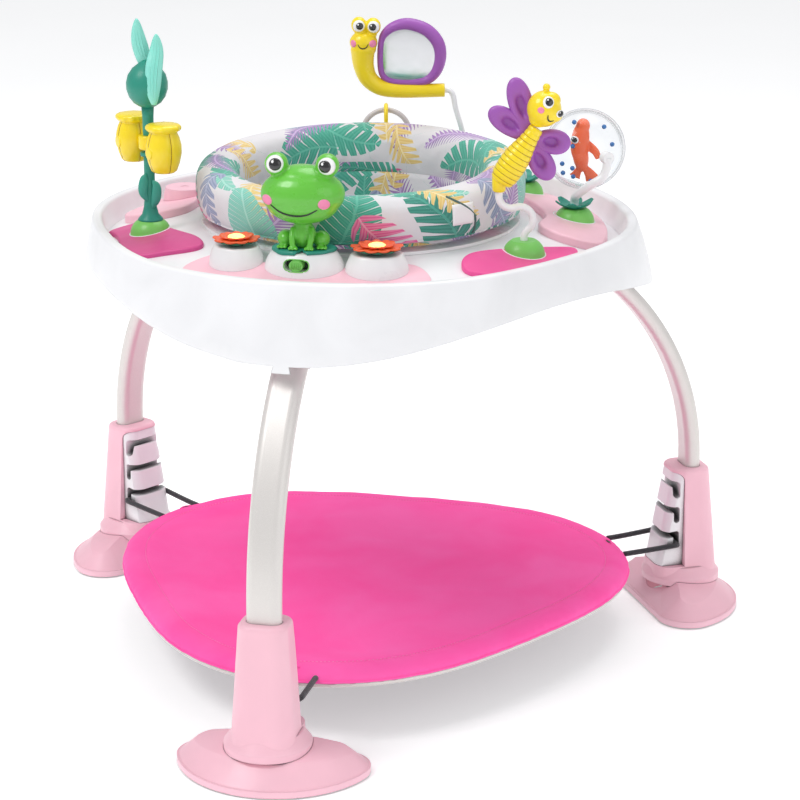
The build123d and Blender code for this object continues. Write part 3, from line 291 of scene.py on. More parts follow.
def finish(obj, look, body, stands_for=()):
    """Gives an object its look, smooth shading and body."""
    obj.data.materials.clear()
    obj.data.materials.append(LOOKS[look])
    for face in obj.data.polygons:
        face.use_smooth = True
    if body:
        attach(obj, body)
    if stands_for:
        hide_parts(*stands_for)
    return obj


def piece(name, shape, look, body, stands_for=()):
    return finish(mesh_object(name, shape), look, body, stands_for)


def fused(name, shape, look, body, voxel=1.2, rounds=5, stands_for=()):
    """Overlapping forms melted into one smooth moulding."""
    obj = mesh_object(name, shape)
    remesh = obj.modifiers.new("melt", "REMESH")
    remesh.mode = "VOXEL"
    remesh.voxel_size = voxel * MM
    soften = obj.modifiers.new("soften", "SMOOTH")
    soften.factor = 0.5
    soften.iterations = rounds
    bake(obj)
    return finish(obj, look, body, stands_for)


def inflate(obj, voxel, pressure, cap):
    """Blows a closed form up like a stuffed cover. No point moves further than cap."""
    remesh = obj.modifiers.new("cloth_mesh", "REMESH")
    remesh.mode = "VOXEL"
    remesh.voxel_size = voxel * MM
    bake(obj)
    rest = [v.co.copy() for v in obj.data.vertices]
    scene = bpy.context.scene
    cloth = obj.modifiers.new("stuffing", "CLOTH")
    cloth.settings.quality = 5
    cloth.settings.mass = 0.3
    cloth.settings.use_pressure = True
    cloth.settings.uniform_pressure_force = pressure
    cloth.settings.effector_weights.gravity = 0
    cloth.settings.tension_stiffness = 18
    cloth.settings.compression_stiffness = 12
    cloth.settings.bending_stiffness = 0.4
    frames = 20
    cloth.point_cache.frame_start = 1
    cloth.point_cache.frame_end = frames
    for step in range(1, frames + 1):
        scene.frame_set(step)
    graph = bpy.context.evaluated_depsgraph_get()
    blown = obj.evaluated_get(graph).to_mesh()
    moved = [v.co.copy() for v in blown.vertices]
    obj.evaluated_get(graph).to_mesh_clear()
    obj.modifiers.clear()
    scene.frame_set(1)
    for vertex, start, end in zip(obj.data.vertices, rest, moved):
        step = end - start
        if step.length > cap * MM:
            step *= cap * MM / step.length
        vertex.co = start + step
    rounder = obj.modifiers.new("round", "SUBSURF")
    rounder.levels = rounder.render_levels = 1
    return bake(obj)


class Surface:
    """Finds points on a finished piece, so that small details can lie on it."""

    def __init__(self, obj):
        verts = [v.co for v in obj.data.vertices]
        self.tree = BVHTree.FromPolygons(verts, [list(p.vertices) for p in obj.data.polygons])

    def hit(self, origin, direction):
        point, normal, _, _ = self.tree.ray_cast(Vector(origin) * MM, Vector(direction).normalized())
        if point is None:
            point, normal, _, _ = self.tree.find_nearest(Vector(origin) * MM)
        return point / MM, normal

    def front(self, place, x, z, reach=150.0):
        """The point in front at (x, z) of a place whose -y looks forwards."""
        direction = place.to_3x3() @ Vector((0, 1, 0))
        return self.hit(place @ Vector((x, -reach, z)), direction)


def button(name, surface, place, centre, halves, look, body, lift=0.3, crown=0.8):
    """A low oval dome that lies on a surface, with its edge sunk under it."""
    sides, rings, sunk = 32, 6, -0.8
    rows = []
    for i in range(1, rings + 2):
        share = min(i, rings) / rings
        height = lift + crown * math.sqrt(1 - share ** 2) if i <= rings else sunk
        row = []
        for angle in turns(sides):
            x, z = halves[0] * share * math.cos(angle), halves[1] * share * math.sin(angle)
            point, normal = surface.front(place, centre[0] + x, centre[1] + z)
            row.append(point + normal * height)
        rows.append(row)
    return piece(name, grid(rows, cap_start=True), look, body)


def drawn_line(name, surface, place, points, radius, look, body):
    """A thin raised line through (x, z) points on a surface, tapered at its ends."""
    path = []
    for p in smooth_path([(x, 0, z) for x, z in points], 10):
        point, normal = surface.front(place, p.x, p.z)
        path.append(point + normal * radius * 0.25)
    line = bar(path, lambda s: radius * (0.55 + 0.45 * math.sin(math.pi * s)), 8)
    return piece(name, line, look, body)


def box_centre(node):
    low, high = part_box(node)
    return (low + high) / 2 / MM


def toy_place(base, turn=TOY_TURN):
    """A toy's own frame: x to its right, -y to its front, z the height above the floor."""
    return Matrix.Translation((base.x, base.y, 0)) @ Matrix.Rotation(turn, 4, "Z")


# ---------------------------------------------------------------------------
# Looks
# ---------------------------------------------------------------------------

def rgb(code):
    """A linear colour from a hex code."""
    values = [int(code[i:i + 2], 16) / 255 for i in (0, 2, 4)]
    return tuple(v / 12.92 if v <= 0.04045 else ((v + 0.055) / 1.055) ** 2.4 for v in values) + (1.0,)


class Look:
    """A material with short ways to add nodes to it."""

    def __init__(self, name):
        self.material = bpy.data.materials.new(name)
        self.material.use_nodes = True
        self.tree = self.material.node_tree
        self.tree.nodes.clear()
        self.shader = self.add("ShaderNodeBsdfPrincipled")
        self.output = self.add("ShaderNodeOutputMaterial")
        self.tree.links.new(self.shader.outputs[0], self.output.inputs["Surface"])
        self.place = self.add("ShaderNodeTexCoord").outputs["Object"]
        LOOKS[name] = self.material

    def add(self, kind, **settings):
        node = self.tree.nodes.new(kind)
        for key, value in settings.items():
            setattr(node, key, value)
        return node

    def put(self, socket, value):
        """Links a node's output, or sets a plain value."""
        if isinstance(value, bpy.types.NodeSocket):
            self.tree.links.new(value, socket)
        else:
            socket.default_value = value

    def set(self, **values):
        for key, value in values.items():
            self.put(self.shader.inputs[key.replace("_", " ")], value)

    def math(self, operation, a, b=0.0, c=0.0):
        node = self.add("ShaderNodeMath", operation=operation)
        for socket, value in zip(node.inputs, (a, b, c)):
            self.put(socket, value)
        return node.outputs[0]

    def noise(self, scale, detail=2.0, vector=None, distortion=0.0):
        node = self.add("ShaderNodeTexNoise")
        self.put(node.inputs["Vector"], vector or self.place)
        node.inputs["Scale"].default_value = scale
        node.inputs["Detail"].default_value = detail
        node.inputs["Distortion"].default_value = distortion
        return node.outputs["Fac"]

    def stretch(self, value, low, high, out_low=0.0, out_high=1.0):
        node = self.add("ShaderNodeMapRange")
        for socket, v in zip(node.inputs, (value, low, high, out_low, out_high)):
            self.put(socket, v)
        return node.outputs[0]

    def mix(self, share, a, b, blend="MIX"):
        node = self.add("ShaderNodeMix", data_type="RGBA", blend_type=blend)
        self.put(node.inputs[0], share)
        self.put(node.inputs[6], a)
        self.put(node.inputs[7], b)
        return node.outputs[2]

    def bump(self, height, strength, distance, normal=None):
        node = self.add("ShaderNodeBump")
        node.inputs["Strength"].default_value = strength
        node.inputs["Distance"].default_value = distance * MM
        self.put(node.inputs["Height"], height)
        if normal:
            self.put(node.inputs["Normal"], normal)
        return node.outputs[0]

    def xyz(self, vector=None, scale=1000):
        """A vector's three parts, in millimetres when it is a place."""
        split = self.add("ShaderNodeSeparateXYZ")
        self.put(split.inputs[0], vector or self.place)
        return [self.math("MULTIPLY", part, scale) for part in split.outputs]

    def weave(self, u, v, pitch):
        """Height of a plain weave whose threads are this far apart, over two lengths in millimetres."""
        warp = self.math("SINE", self.math("MULTIPLY", u, 2 * math.pi / pitch))
        weft = self.math("SINE", self.math("MULTIPLY", v, 2 * math.pi / pitch))
        return self.math("MULTIPLY", warp, weft)


def shade(colour, factor):
    return tuple(min(1.0, c * factor) for c in colour[:3]) + (1.0,)


def plastic(name, code, roughness=0.32, coat=0.25, soft=0.0, edge=0.7, crevice=0.0):
    """Moulded plastic: faint flow marks, fine grain, a painted highlight that lightens rounded edges a
    little, and painted shade in the gaps narrower than crevice (mm)."""
    look = Look(name)
    base = rgb(code)
    flow = look.stretch(look.noise(14, 3, distortion=0.6), 0.3, 0.7)
    colour = look.mix(flow, shade(base, 0.955), shade(base, 1.03))
    specks = look.stretch(look.noise(900, 1), 0.62, 0.78)
    colour = look.mix(look.math("MULTIPLY", specks, 0.10), colour, shade(base, 0.8))
    # Painted highlight: rounded edges are mixed towards a lighter copy of the colour.
    edge_highlight = look.stretch(look.add("ShaderNodeNewGeometry").outputs["Pointiness"], 0.53, 0.62)
    colour = look.mix(look.math("MULTIPLY", edge_highlight, 0.35), colour, shade(base, 1.18))
    # Painted shade: the colour darkens to a tenth of itself in gaps narrower than crevice.
    if crevice:
        gap_shade = look.add("ShaderNodeAmbientOcclusion", samples=8)
        gap_shade.inputs["Distance"].default_value = crevice * MM
        colour = look.mix(look.stretch(gap_shade.outputs["AO"], 0.3, 0.8), shade(base, 0.1), colour)
    corner = look.add("ShaderNodeBevel", samples=4)
    corner.inputs["Radius"].default_value = edge * MM
    grain = look.math("ADD", look.noise(1500, 2), look.math("MULTIPLY", look.noise(220, 2), 1.5))
    look.set(Base_Color=colour, Normal=look.bump(grain, 0.12, 0.12, corner.outputs[0]),
             Roughness=look.stretch(look.noise(45, 3), 0.3, 0.7, roughness - 0.05, roughness + 0.07),
             Coat_Weight=coat, Coat_Roughness=0.12)
    if soft:
        look.set(Subsurface_Weight=soft)
        look.shader.inputs["Subsurface Radius"].default_value = (0.004, 0.003, 0.003)
    return look


def pearl_paint(name):
    """The tubes' pearl-white paint with fine metal flakes."""
    look = Look(name)
    flakes = look.add("ShaderNodeTexVoronoi")
    look.put(flakes.inputs["Vector"], look.place)
    flakes.inputs["Scale"].default_value = 2600
    sparkle = look.stretch(flakes.outputs["Distance"], 0.0, 0.5)
    drift = look.noise(10, 2)
    colour = look.mix(sparkle, rgb("F4F1EE"), rgb("D9D5D2"))
    colour = look.mix(look.math("MULTIPLY", drift, 0.35), colour, rgb("E9E2DA"))
    look.set(Base_Color=colour, Metallic=0.35, Coat_Weight=0.3, Coat_Roughness=0.15,
             Roughness=look.stretch(sparkle, 0, 1, 0.34, 0.46),
             Normal=look.bump(look.noise(300, 2), 0.06, 0.1))


def steel_look(name):
    look = Look(name)
    streaks = look.noise(600, 3)
    look.set(Base_Color=look.mix(streaks, rgb("8F9094"), rgb("C3C4C8")), Metallic=1.0,
             Roughness=look.stretch(streaks, 0.3, 0.7, 0.22, 0.42), Normal=look.bump(streaks, 0.15, 0.1))


def rubber_look(name):
    look = Look(name)
    grit = look.noise(700, 3)
    look.set(Base_Color=look.mix(grit, rgb("5B5B5E"), rgb("77777B")), Roughness=0.85,
             Normal=look.bump(grit, 0.4, 0.3))


def mat_look(name):
    """Hot pink woven polyester: threads, slight puckers and a soft sheen."""
    look = Look(name)
    x, y, _ = look.xyz()
    threads = look.weave(x, y, 1.3)
    cloud = look.stretch(look.noise(9, 4, distortion=0.4), 0.3, 0.7)
    colour = look.mix(cloud, rgb("FF4AA2"), rgb("FF62B2"))
    colour = look.mix(look.stretch(threads, -1, 1, 0, 0.16), colour, rgb("DB3A8A"))
    puckers = look.noise(38, 3, distortion=0.8)
    height = look.math("ADD", look.math("MULTIPLY", threads, 0.12), look.math("MULTIPLY", puckers, 1.6))
    facing_up = look.xyz(look.add("ShaderNodeNewGeometry").outputs["Normal"], 1)[2]
    colour = look.mix(look.stretch(facing_up, -0.6, -0.2), rgb("8C8589"), colour)
    # Painted light: the emission makes the fabric glow faintly in its own pink, so it stays bright in the
    # shade under the tray.
    look.set(Base_Color=colour, Roughness=0.78, Sheen_Weight=0.1, Sheen_Roughness=0.4,
             Sheen_Tint=rgb("FF86C0"), Emission_Color=colour, Emission_Strength=0.16,
             Normal=look.bump(height, 0.35, 1.0))


def cord_look(name):
    """Black braided elastic: two sets of strands crossing round the cord."""
    look = Look(name)
    x, y, z = look.xyz()
    strands = []
    for way in ("ADD", "SUBTRACT"):
        across = look.math(way, look.math(way, x, y), z)
        strands.append(look.math("SINE", look.math("MULTIPLY", across, 2.6)))
    braid = look.math("MAXIMUM", *strands)
    look.set(Base_Color=look.mix(look.stretch(braid, -1, 1), rgb("111114"), rgb("34343A")),
             Roughness=0.7, Sheen_Weight=0.3, Normal=look.bump(braid, 0.6, 0.6))


def leaf_group():
    """A node group that draws one leaf of the print and repeats it round the ring.
    U and V are lengths in millimetres on the cloth."""
    group = bpy.data.node_groups.new("print_leaf", "ShaderNodeTree")
    names = ("U", "V", "Repeat", "At U", "At V", "Angle", "Length", "Width", "Lobes", "Cut")
    for label in names:
        group.interface.new_socket(label, in_out="INPUT", socket_type="NodeSocketFloat")
    for label in ("Mask", "Shade"):
        group.interface.new_socket(label, in_out="OUTPUT", socket_type="NodeSocketFloat")
    start = group.nodes.new("NodeGroupInput")
    end = group.nodes.new("NodeGroupOutput")
    given = {label: start.outputs[label] for label in names}

    def calc(operation, a, b=0.0, c=0.0):
        node = group.nodes.new("ShaderNodeMath")
        node.operation = operation
        for socket, value in zip(node.inputs, (a, b, c)):
            if isinstance(value, bpy.types.NodeSocket):
                group.links.new(value, socket)
            else:
                socket.default_value = value
        return node.outputs[0]

    half = calc("MULTIPLY", given["Repeat"], 0.5)
    du = calc("WRAP", calc("SUBTRACT", given["U"], given["At U"]), half, calc("MULTIPLY", half, -1))
    dv = calc("SUBTRACT", given["V"], given["At V"])
    cos_a, sin_a = calc("COSINE", given["Angle"]), calc("SINE", given["Angle"])
    along = calc("ADD", calc("MULTIPLY", du, cos_a), calc("MULTIPLY", dv, sin_a))
    side = calc("SUBTRACT", calc("MULTIPLY", dv, cos_a), calc("MULTIPLY", du, sin_a))
    x = calc("ADD", calc("DIVIDE", along, given["Length"]), 0.5)
    bend = calc("MULTIPLY", calc("POWER", calc("SUBTRACT", x, 0.5), 2), 0.45)
    y = calc("ABSOLUTE", calc("SUBTRACT", calc("DIVIDE", side, given["Length"]), bend))
    arch = calc("MULTIPLY", calc("MULTIPLY", x, calc("SUBTRACT", 1, x)), 4)
    dome = calc("SQRT", calc("MAXIMUM", arch, 0.0))
    taper = calc("SUBTRACT", 1.2, calc("MULTIPLY", x, 0.5))
    edge = calc("MULTIPLY", calc("MULTIPLY", dome, given["Width"]), taper)
    reach = calc("DIVIDE", y, calc("MAXIMUM", edge, 0.0005))
    phase = calc("MULTIPLY", calc("SUBTRACT", x, calc("MULTIPLY", y, 0.75)), given["Lobes"])
    ripple = calc("MULTIPLY", calc("PINGPONG", phase, 0.5), 2)
    gap = calc("GREATER_THAN", ripple, calc("SUBTRACT", 1, calc("MULTIPLY", given["Cut"], reach)))
    mask = calc("MULTIPLY", calc("LESS_THAN", reach, 1), calc("SUBTRACT", 1, gap))
    hatch = calc("PINGPONG", calc("MULTIPLY", phase, 3.0), 0.5)
    rib = calc("LESS_THAN", y, 0.011)
    tone = calc("MAXIMUM", calc("MULTIPLY", hatch, 1.3), rib)
    group.links.new(mask, end.inputs["Mask"])
    group.links.new(tone, end.inputs["Shade"])
    return group


TEAL, PINE, MINT = ("2F9F87", "5DBDA6"), ("1E8271", "43A38F"), ("6FC3B0", "A5DDCF")
PLUM, ROSE, SAND = ("8E62A9", "C9AEDA"), ("DE4E93", "F4A3C6"), ("E2BC62", "F3DFA6")
BLUSH, SLATE = ("F3B9D0", "FADCE7"), ("7E8CB0", "B9C1D9")

# each leaf: repeats round the ring, place round and across it (mm), angle (degrees), length (mm),
# width (share of the length), lobes, depth of the cuts between them, colours
PRINT_LEAVES = (
    (5, 20, -52, 35, 100, 0.10, 9, 0.25, BLUSH), (4, 95, 44, -30, 104, 0.13, 8, 0.20, MINT),
    (4, 60, 66, 160, 96, 0.22, 7, 0.35, TEAL), (4, 30, 4, 75, 112, 0.25, 11, 0.16, TEAL),
    (3, 120, -6, 118, 118, 0.26, 7, 0.40, PINE), (4, 170, -46, 20, 100, 0.22, 7, 0.40, PINE),
    (5, 118, 28, -52, 86, 0.18, 9, 0.65, SAND), (4, 215, 22, 62, 118, 0.20, 22, 0.86, PLUM),
    (4, 210, -50, 150, 88, 0.26, 8, 0.66, ROSE), (5, 150, -72, 95, 90, 0.22, 20, 0.86, PLUM),
    (4, 64, -30, -42, 96, 0.26, 8, 0.60, ROSE), (4, 120, 78, 15, 98, 0.25, 7, 0.35, TEAL),
    (3, 250, -14, 100, 104, 0.28, 13, 0.12, MINT), (5, 10, 50, 20, 84, 0.18, 18, 0.86, PLUM),
    (3, 180, 6, -70, 78, 0.24, 6, 0.50, SLATE), (4, 20, -80, -20, 92, 0.24, 9, 0.45, TEAL),
    (4, 140, -88, 60, 84, 0.20, 20, 0.86, PLUM), (4, 215, 88, 130, 84, 0.22, 9, 0.60, SAND),
)


def print_look(name, over_ring):
    """Printed cotton with palm leaves and ferns. over_ring measures across the cloth round the padded
    ring's section, otherwise straight down the seat."""
    look = Look(name)
    x, y, z = look.xyz()
    u = look.math("MULTIPLY", look.math("ARCTAN2", x, look.math("MULTIPLY", y, -1)), SEAT_R)
    squares = [look.math("MULTIPLY", part, part) for part in (x, y)]
    radius = look.math("SQRT", look.math("ADD", *squares))
    if over_ring:
        section_r = 30.0
        rise = look.math("SUBTRACT", z, (SEAT_LOW + SEAT_FRONT) / 2)
        over = look.math("ARCTAN2", rise, look.math("SUBTRACT", radius, SEAT_R))
        v = look.math("MULTIPLY", over, section_r)
    else:
        down = look.math("SUBTRACT", look.math("MULTIPLY", look.math("SUBTRACT", z, 470), 0.9), radius)
        v = look.math("WRAP", down, 90.0, -80.0)
    wobble = look.math("MULTIPLY", look.math("SUBTRACT", look.noise(60, 2), 0.5), 5)
    u_drawn = look.math("ADD", u, wobble)
    group = leaf_group()
    colour = look.mix(look.noise(30, 3), rgb("DAD7DB"), rgb("EAE7EA"))
    circle = 2 * math.pi * SEAT_R
    for repeats, at_u, at_v, angle, length, width, lobes, cut, (dark, light) in PRINT_LEAVES:
        leaf = look.add("ShaderNodeGroup")
        leaf.node_tree = group
        values = (u_drawn, v, circle / repeats, at_u, at_v, math.radians(angle), length, width, lobes,
                  cut)
        for socket, value in zip(leaf.inputs, values):
            look.put(socket, value)
        ink = look.mix(leaf.outputs["Shade"], rgb(dark), rgb(light))
        colour = look.mix(leaf.outputs["Mask"], colour, ink)
    threads = look.weave(u, v, 1.2)
    colour = look.mix(look.stretch(threads, -1, 1, 0.0, 0.10), colour, rgb("B9B4B8"))
    folds = look.noise(26, 3, distortion=1.2)
    height = look.math("ADD", look.math("MULTIPLY", threads, 0.10), look.math("MULTIPLY", folds, 2.4))
    look.set(Base_Color=colour, Roughness=0.82, Sheen_Weight=0.25, Normal=look.bump(height, 0.4, 1.0))


def clear_look(name):
    """Clear moulded shell: see-through with bright rims and faint scratches."""
    look = Look(name)
    scratches = look.bump(look.noise(320, 4, distortion=2.0), 0.05, 0.2)
    see = look.add("ShaderNodeBsdfTransparent")
    tint = look.mix(look.stretch(look.noise(25, 2), 0.3, 0.7), rgb("FFFFFF"), rgb("FBFCFD"))
    look.put(see.inputs["Color"], tint)
    gloss = look.add("ShaderNodeBsdfGlossy")
    look.put(gloss.inputs["Roughness"], look.stretch(look.noise(90, 2), 0.3, 0.7, 0.03, 0.09))
    look.put(gloss.inputs["Normal"], scratches)
    rim = look.add("ShaderNodeLayerWeight")
    rim.inputs["Blend"].default_value = 0.08
    mixer = look.add("ShaderNodeMixShader")
    look.put(mixer.inputs[0], look.stretch(rim.outputs["Fresnel"], 0.0, 1.0, 0.015, 0.4))
    look.put(mixer.inputs[1], see.outputs[0])
    look.put(mixer.inputs[2], gloss.outputs[0])
    look.put(look.output.inputs["Surface"], mixer.outputs[0])


def mirror_look(name):
    look = Look(name)
    haze = look.noise(60, 3)
    look.set(Base_Color=look.mix(haze, rgb("DCDDE0"), rgb("EEEEF0")), Metallic=1.0,
             Roughness=look.stretch(haze, 0.3, 0.7, 0.10, 0.20),
             Normal=look.bump(look.noise(30, 1), 0.05, 0.5))


def glow_look(name):
    """The flowers' lit centres: white in the middle, amber outside."""
    look = plastic(name, "FFC24A", 0.35, 0.3)
    waves = look.noise(420, 2)
    look.set(Emission_Color=look.mix(waves, rgb("FFF3B0"), rgb("FFD766")), Emission_Strength=1.5)


# each plastic: colour, roughness, clear coat and what differs from the usual
PLASTICS = {
    "white_shell": ("F1F1F3", 0.34, 0.2, {"edge": 1.2}), "white_part": ("F3F3F4", 0.3, 0.3, {}),
    # crevice paints shade into narrow gaps: the hook rack's slots and the joints of the pink columns and
    # feet.
    "rack_white": ("F1F1F3", 0.35, 0.2, {"crevice": 14}),
    "leg_pink": ("F9C4D2", 0.4, 0.12, {"edge": 1.5, "crevice": 3}),
    "grey_frame": ("D5D6DA", 0.45, 0.1, {}), "warm_grey": ("CFC9C7", 0.4, 0.15, {}),
    "hot_pink": ("F0509C", 0.42, 0.12, {"edge": 1.5}), "berry_pink": ("D6488E", 0.42, 0.12, {"edge": 1.5}),
    "light_pink": ("F6C3D1", 0.4, 0.12, {"edge": 1.5}), "cheek_pink": ("F58DB5", 0.4, 0.2, {}),
    "stitch_pink": ("FF8CC4", 0.7, 0.0, {}), "green_plastic": ("7ACB60", 0.4, 0.15, {"soft": 0.1}),
    "frog_green": ("66C43C", 0.28, 0.4, {"soft": 0.15}),
    "teal_plastic": ("23907C", 0.42, 0.1, {"soft": 0.05}), "teal_leaf": ("35A08C", 0.4, 0.1, {}),
    "teal_cloth": ("2C8F7D", 0.8, 0.0, {}), "pine_plastic": ("1F6B4F", 0.45, 0.1, {}),
    "aqua_leaf": ("8FE2D3", 0.38, 0.2, {"soft": 0.3}),
    "yellow_plastic": ("FFDF16", 0.3, 0.35, {"soft": 0.12}),
    # painted_groove_shade: a darker amber laid in the grooves of yellow mouldings as painted shade.
    "painted_groove_shade": ("A87B12", 0.5, 0.0, {}), "purple_plastic": ("A25AB4", 0.45, 0.1, {"soft": 0.1}),
    "orange_plastic": ("FF6E3C", 0.35, 0.3, {"soft": 0.2}),
    "petal_orange": ("F2622E", 0.4, 0.2, {"soft": 0.3}), "blue_plastic": ("2F74B8", 0.25, 0.4, {}),
    "clear_rim": ("E4E8EB", 0.15, 0.6, {}), "eye_white": ("FAFAFA", 0.18, 0.6, {}),
    "eye_black": ("0B0B0D", 0.12, 0.9, {}), "line_black": ("17181A", 0.4, 0.2, {}),
    "slot_dark": ("2C3A32", 0.6, 0.0, {}), "seam_shade": ("56706C", 0.85, 0.0, {}),
}


def make_looks():
    for name, (code, roughness, coat, extras) in PLASTICS.items():
        plastic(name, code, roughness, coat, **extras)
    pearl_paint("pearl_tube")
    steel_look("steel")
    rubber_look("grip_rubber")
    mat_look("mat_fabric")
    cord_look("cord")
    print_look("print_fabric", True)
    print_look("print_lining", False)
    clear_look("clear_plastic")
    mirror_look("mirror_face")
    glow_look("flower_glow")


NODE_LOOKS = {
    "tray_shell": "white_shell", "underframe": "grey_frame", "tray_screws": "steel", "leg_bolts": "steel",
    "leg_tube": "pearl_tube", "leg_column": "leg_pink", "hook_rack": "rack_white",
    "foot_grips": "grip_rubber",
    "foot": "leg_pink", "mat_hoop": "pearl_tube", "seat_ring": "white_part", "seat_retainer": "white_part",
    "pad_left": "berry_pink", "pad_right": "hot_pink", "pad_back": "light_pink", "pad_front": "light_pink",
    "toy_bases": "green_plastic", "socket_cap": "light_pink", "dragonfly_stalk": "white_part",
    "fish_ball": "clear_plastic", "fish_arm": "white_part", "snail_wire": "white_part",
    "toy_loop": "warm_grey",
    "console_shell": "white_part", "battery_cells": "steel", "circuit_board": "teal_plastic",
    "mode_switch": "green_plastic", "lily_leaf": "teal_plastic",
}


def dress_cad_nodes():
    """Every CAD node that stays visible gets its look."""
    for name, obj in frame["nodes"].items():
        matches = [key for key in NODE_LOOKS if name.startswith(key)]
        if not matches:
            continue
        look = NODE_LOOKS[max(matches, key=len)]
        if not obj.material_slots:
            obj.data.materials.append(LOOKS[look])
        for slot in obj.material_slots:
            slot.material = LOOKS[look]


# ---------------------------------------------------------------------------
# Seat
# ---------------------------------------------------------------------------

def seat_top(angle):
    """Height of the padded ring at an angle from the front."""
    middle = (SEAT_FRONT + SEAT_BACK) / 2
    return middle - (SEAT_BACK - SEAT_FRONT) / 2 * math.cos(angle)


def make_bolster():
    """The stuffed ring: a full section, flat where it sits on the turning ring."""
    sides, around = 32, 150
    start_gap = 3.0
    rows = []
    for angle in turns(around):
        low, top = SEAT_LOW + start_gap - 1, seat_top(angle) - start_gap + 1
        row = []
        for t in turns(sides):
            out, up = oblong(t, SEAT_HALF - start_gap, (top - low) / 2, 0.62, 0.75)
            row.append(out_from_middle(angle, SEAT_R + out, (low + top) / 2 + up))
        rows.append(row)
    bolster = mesh_object("seat_cover", grid(rows, closed_along=True))
    inflate(bolster, voxel=5.0, pressure=4.0, cap=4.0)
    for vertex in bolster.data.vertices:
        place = vertex.co
        swirl = noise.noise(Vector((place.x * 22, place.y * 22, place.z * 34)))
        fine = noise.noise(Vector((place.x * 70, place.y * 70, place.z * 50)))
        out = Vector((place.x, place.y, 0)).normalized()
        vertex.co += out * MM * (1.1 * swirl + 0.35 * fine)
    finish(bolster, "print_fabric", "seat", ["seat_bolster"])
    return Surface(bolster)


def ring_point(surface, angle, height, lift=0.0):
    """A point on the ring's outer side at an angle from the front."""
    away = out_from_middle(angle)
    point, normal = surface.hit(away * 260 + Vector((0, 0, height)), -away)
    return point + normal * lift


def make_panel_seam(surface):
    """The overlapping front panel's curved seam, with a row of stitches beside it."""
    steps = 25
    seam_start, stitch_start, swing = 45, 43, 11
    top, drop = 530, 44
    stitch_length = 1.1

    def seam_point(start, i, lower=0.0, lift=0.2):
        t = i / steps
        angle = math.radians(start + swing * math.sin(math.pi / 2 * min(1.0, t * 1.6)))
        return ring_point(surface, angle, top - drop * t - lower, lift)

    seam = [seam_point(seam_start, i) for i in range(steps + 1)]
    piece("seat_panel_seam", bar(seam, 1.2, 8), "seam_shade", "seat")
    stitches = Shape()
    for i in range(2, steps - 1):
        a = seam_point(stitch_start, i, 0.0, 0.3)
        b = seam_point(stitch_start, i, stitch_length, 0.3)
        stitches += bar([a, (a + b) / 2, b], 0.35, 6)
    piece("seat_panel_stitches", stitches, "white_part", "seat")


def make_tag(surface):
    """A blank sewn tag that curls away from the ring at its lower edge."""
    middle, wide = math.radians(50.5), math.radians(8.8)
    low, high = 501.0, 522.0
    steps = 8
    rows = []
    for i in range(steps + 1):
        height = low + (high - low) * i / steps
        curl = 0.9 + 1.2 * (1 - i / steps) ** 2
        rows.append([ring_point(surface, middle + wide * (j / steps - 0.5), height, curl)
                     for j in range(steps + 1)])
    tag = mesh_object("sewn_tag", grid(rows, closed_across=False))
    finish(thicken(tag, 0.8), "white_part", "seat")


def make_seat_details(surface):
    make_panel_seam(surface)
    path = [ring_point(surface, angle, SEAT_LOW + 7, 0.2) for angle in turns(180)]
    piece("seat_piping", bar(path, 1.3, 8, closed=True), "print_fabric", "seat")
    make_tag(surface)


def make_sling():
    """The fabric bucket inside the ring, with two hemmed leg holes."""
    profile = [(132, 496), (131, 470), (129, 445), (124, 415), (114, 384), (96, 360), (66, 347), (34, 343),
               (6, 342)]
    line = smooth_path([(r, 0, z) for r, z in profile], 4)
    fold_deep = 1.6
    hole_angle, hole_height, hole_radius = math.radians(38), 388.0, 36.0
    holes = {"leg_hem_right": hole_angle, "leg_hem_left": -hole_angle}
    rows = []
    for p in line:
        row = []
        for angle in turns(144):
            place = Vector((math.sin(angle) * 3, math.cos(angle) * 3, p.z / 40))
            row.append(out_from_middle(angle, p.x + fold_deep * noise.noise(place), p.z))
        rows.append(row)
    shape = grid(rows)

    def in_hole(face):
        middle = sum((shape.verts[i] for i in face), Vector()) / len(face)
        for angle in holes.values():
            across = middle.dot(out_from_middle(angle + math.pi / 2))
            if middle.dot(out_from_middle(angle)) > 0 and \
                    math.hypot(across, middle.z - hole_height) < hole_radius:
                return True
        return False

    shape.faces = [f for f in shape.faces if not in_hole(f)]
    sling = mesh_object("seat_lining", shape)
    loose = bmesh.new()
    loose.from_mesh(sling.data)
    bmesh.ops.delete(loose, geom=[v for v in loose.verts if not v.link_faces], context="VERTS")
    loose.to_mesh(sling.data)
    loose.free()
    finish(thicken(sling, 2.4), "print_lining", "seat", ["seat_sling"])

    def radius_at(height):
        for upper, lower in zip(line, line[1:]):
            if lower.z <= height <= upper.z:
                share = (height - lower.z) / (upper.z - lower.z)
                return lower.x + (upper.x - lower.x) * share
        return line[-1].x

    for name, angle in holes.items():
        path = []
        for t in turns(48):
            across, up = (hole_radius + 1) * math.cos(t), hole_height + (hole_radius + 1) * math.sin(t)
            depth = math.sqrt(max(0.0, radius_at(up) ** 2 - across ** 2))
            side = out_from_middle(angle + math.pi / 2, across)
            path.append(side + out_from_middle(angle, depth) + Vector((0, 0, up)))
        piece(name, bar(path, 5.0, 10, closed=True), "teal_cloth", "seat")


# ---------------------------------------------------------------------------
# Mat and cords
# ---------------------------------------------------------------------------

def mat_edge(angle):
    """The mat's outer radius at an angle from the front."""
    return MAT_R + MAT_LOBE * math.cos(3 * angle)


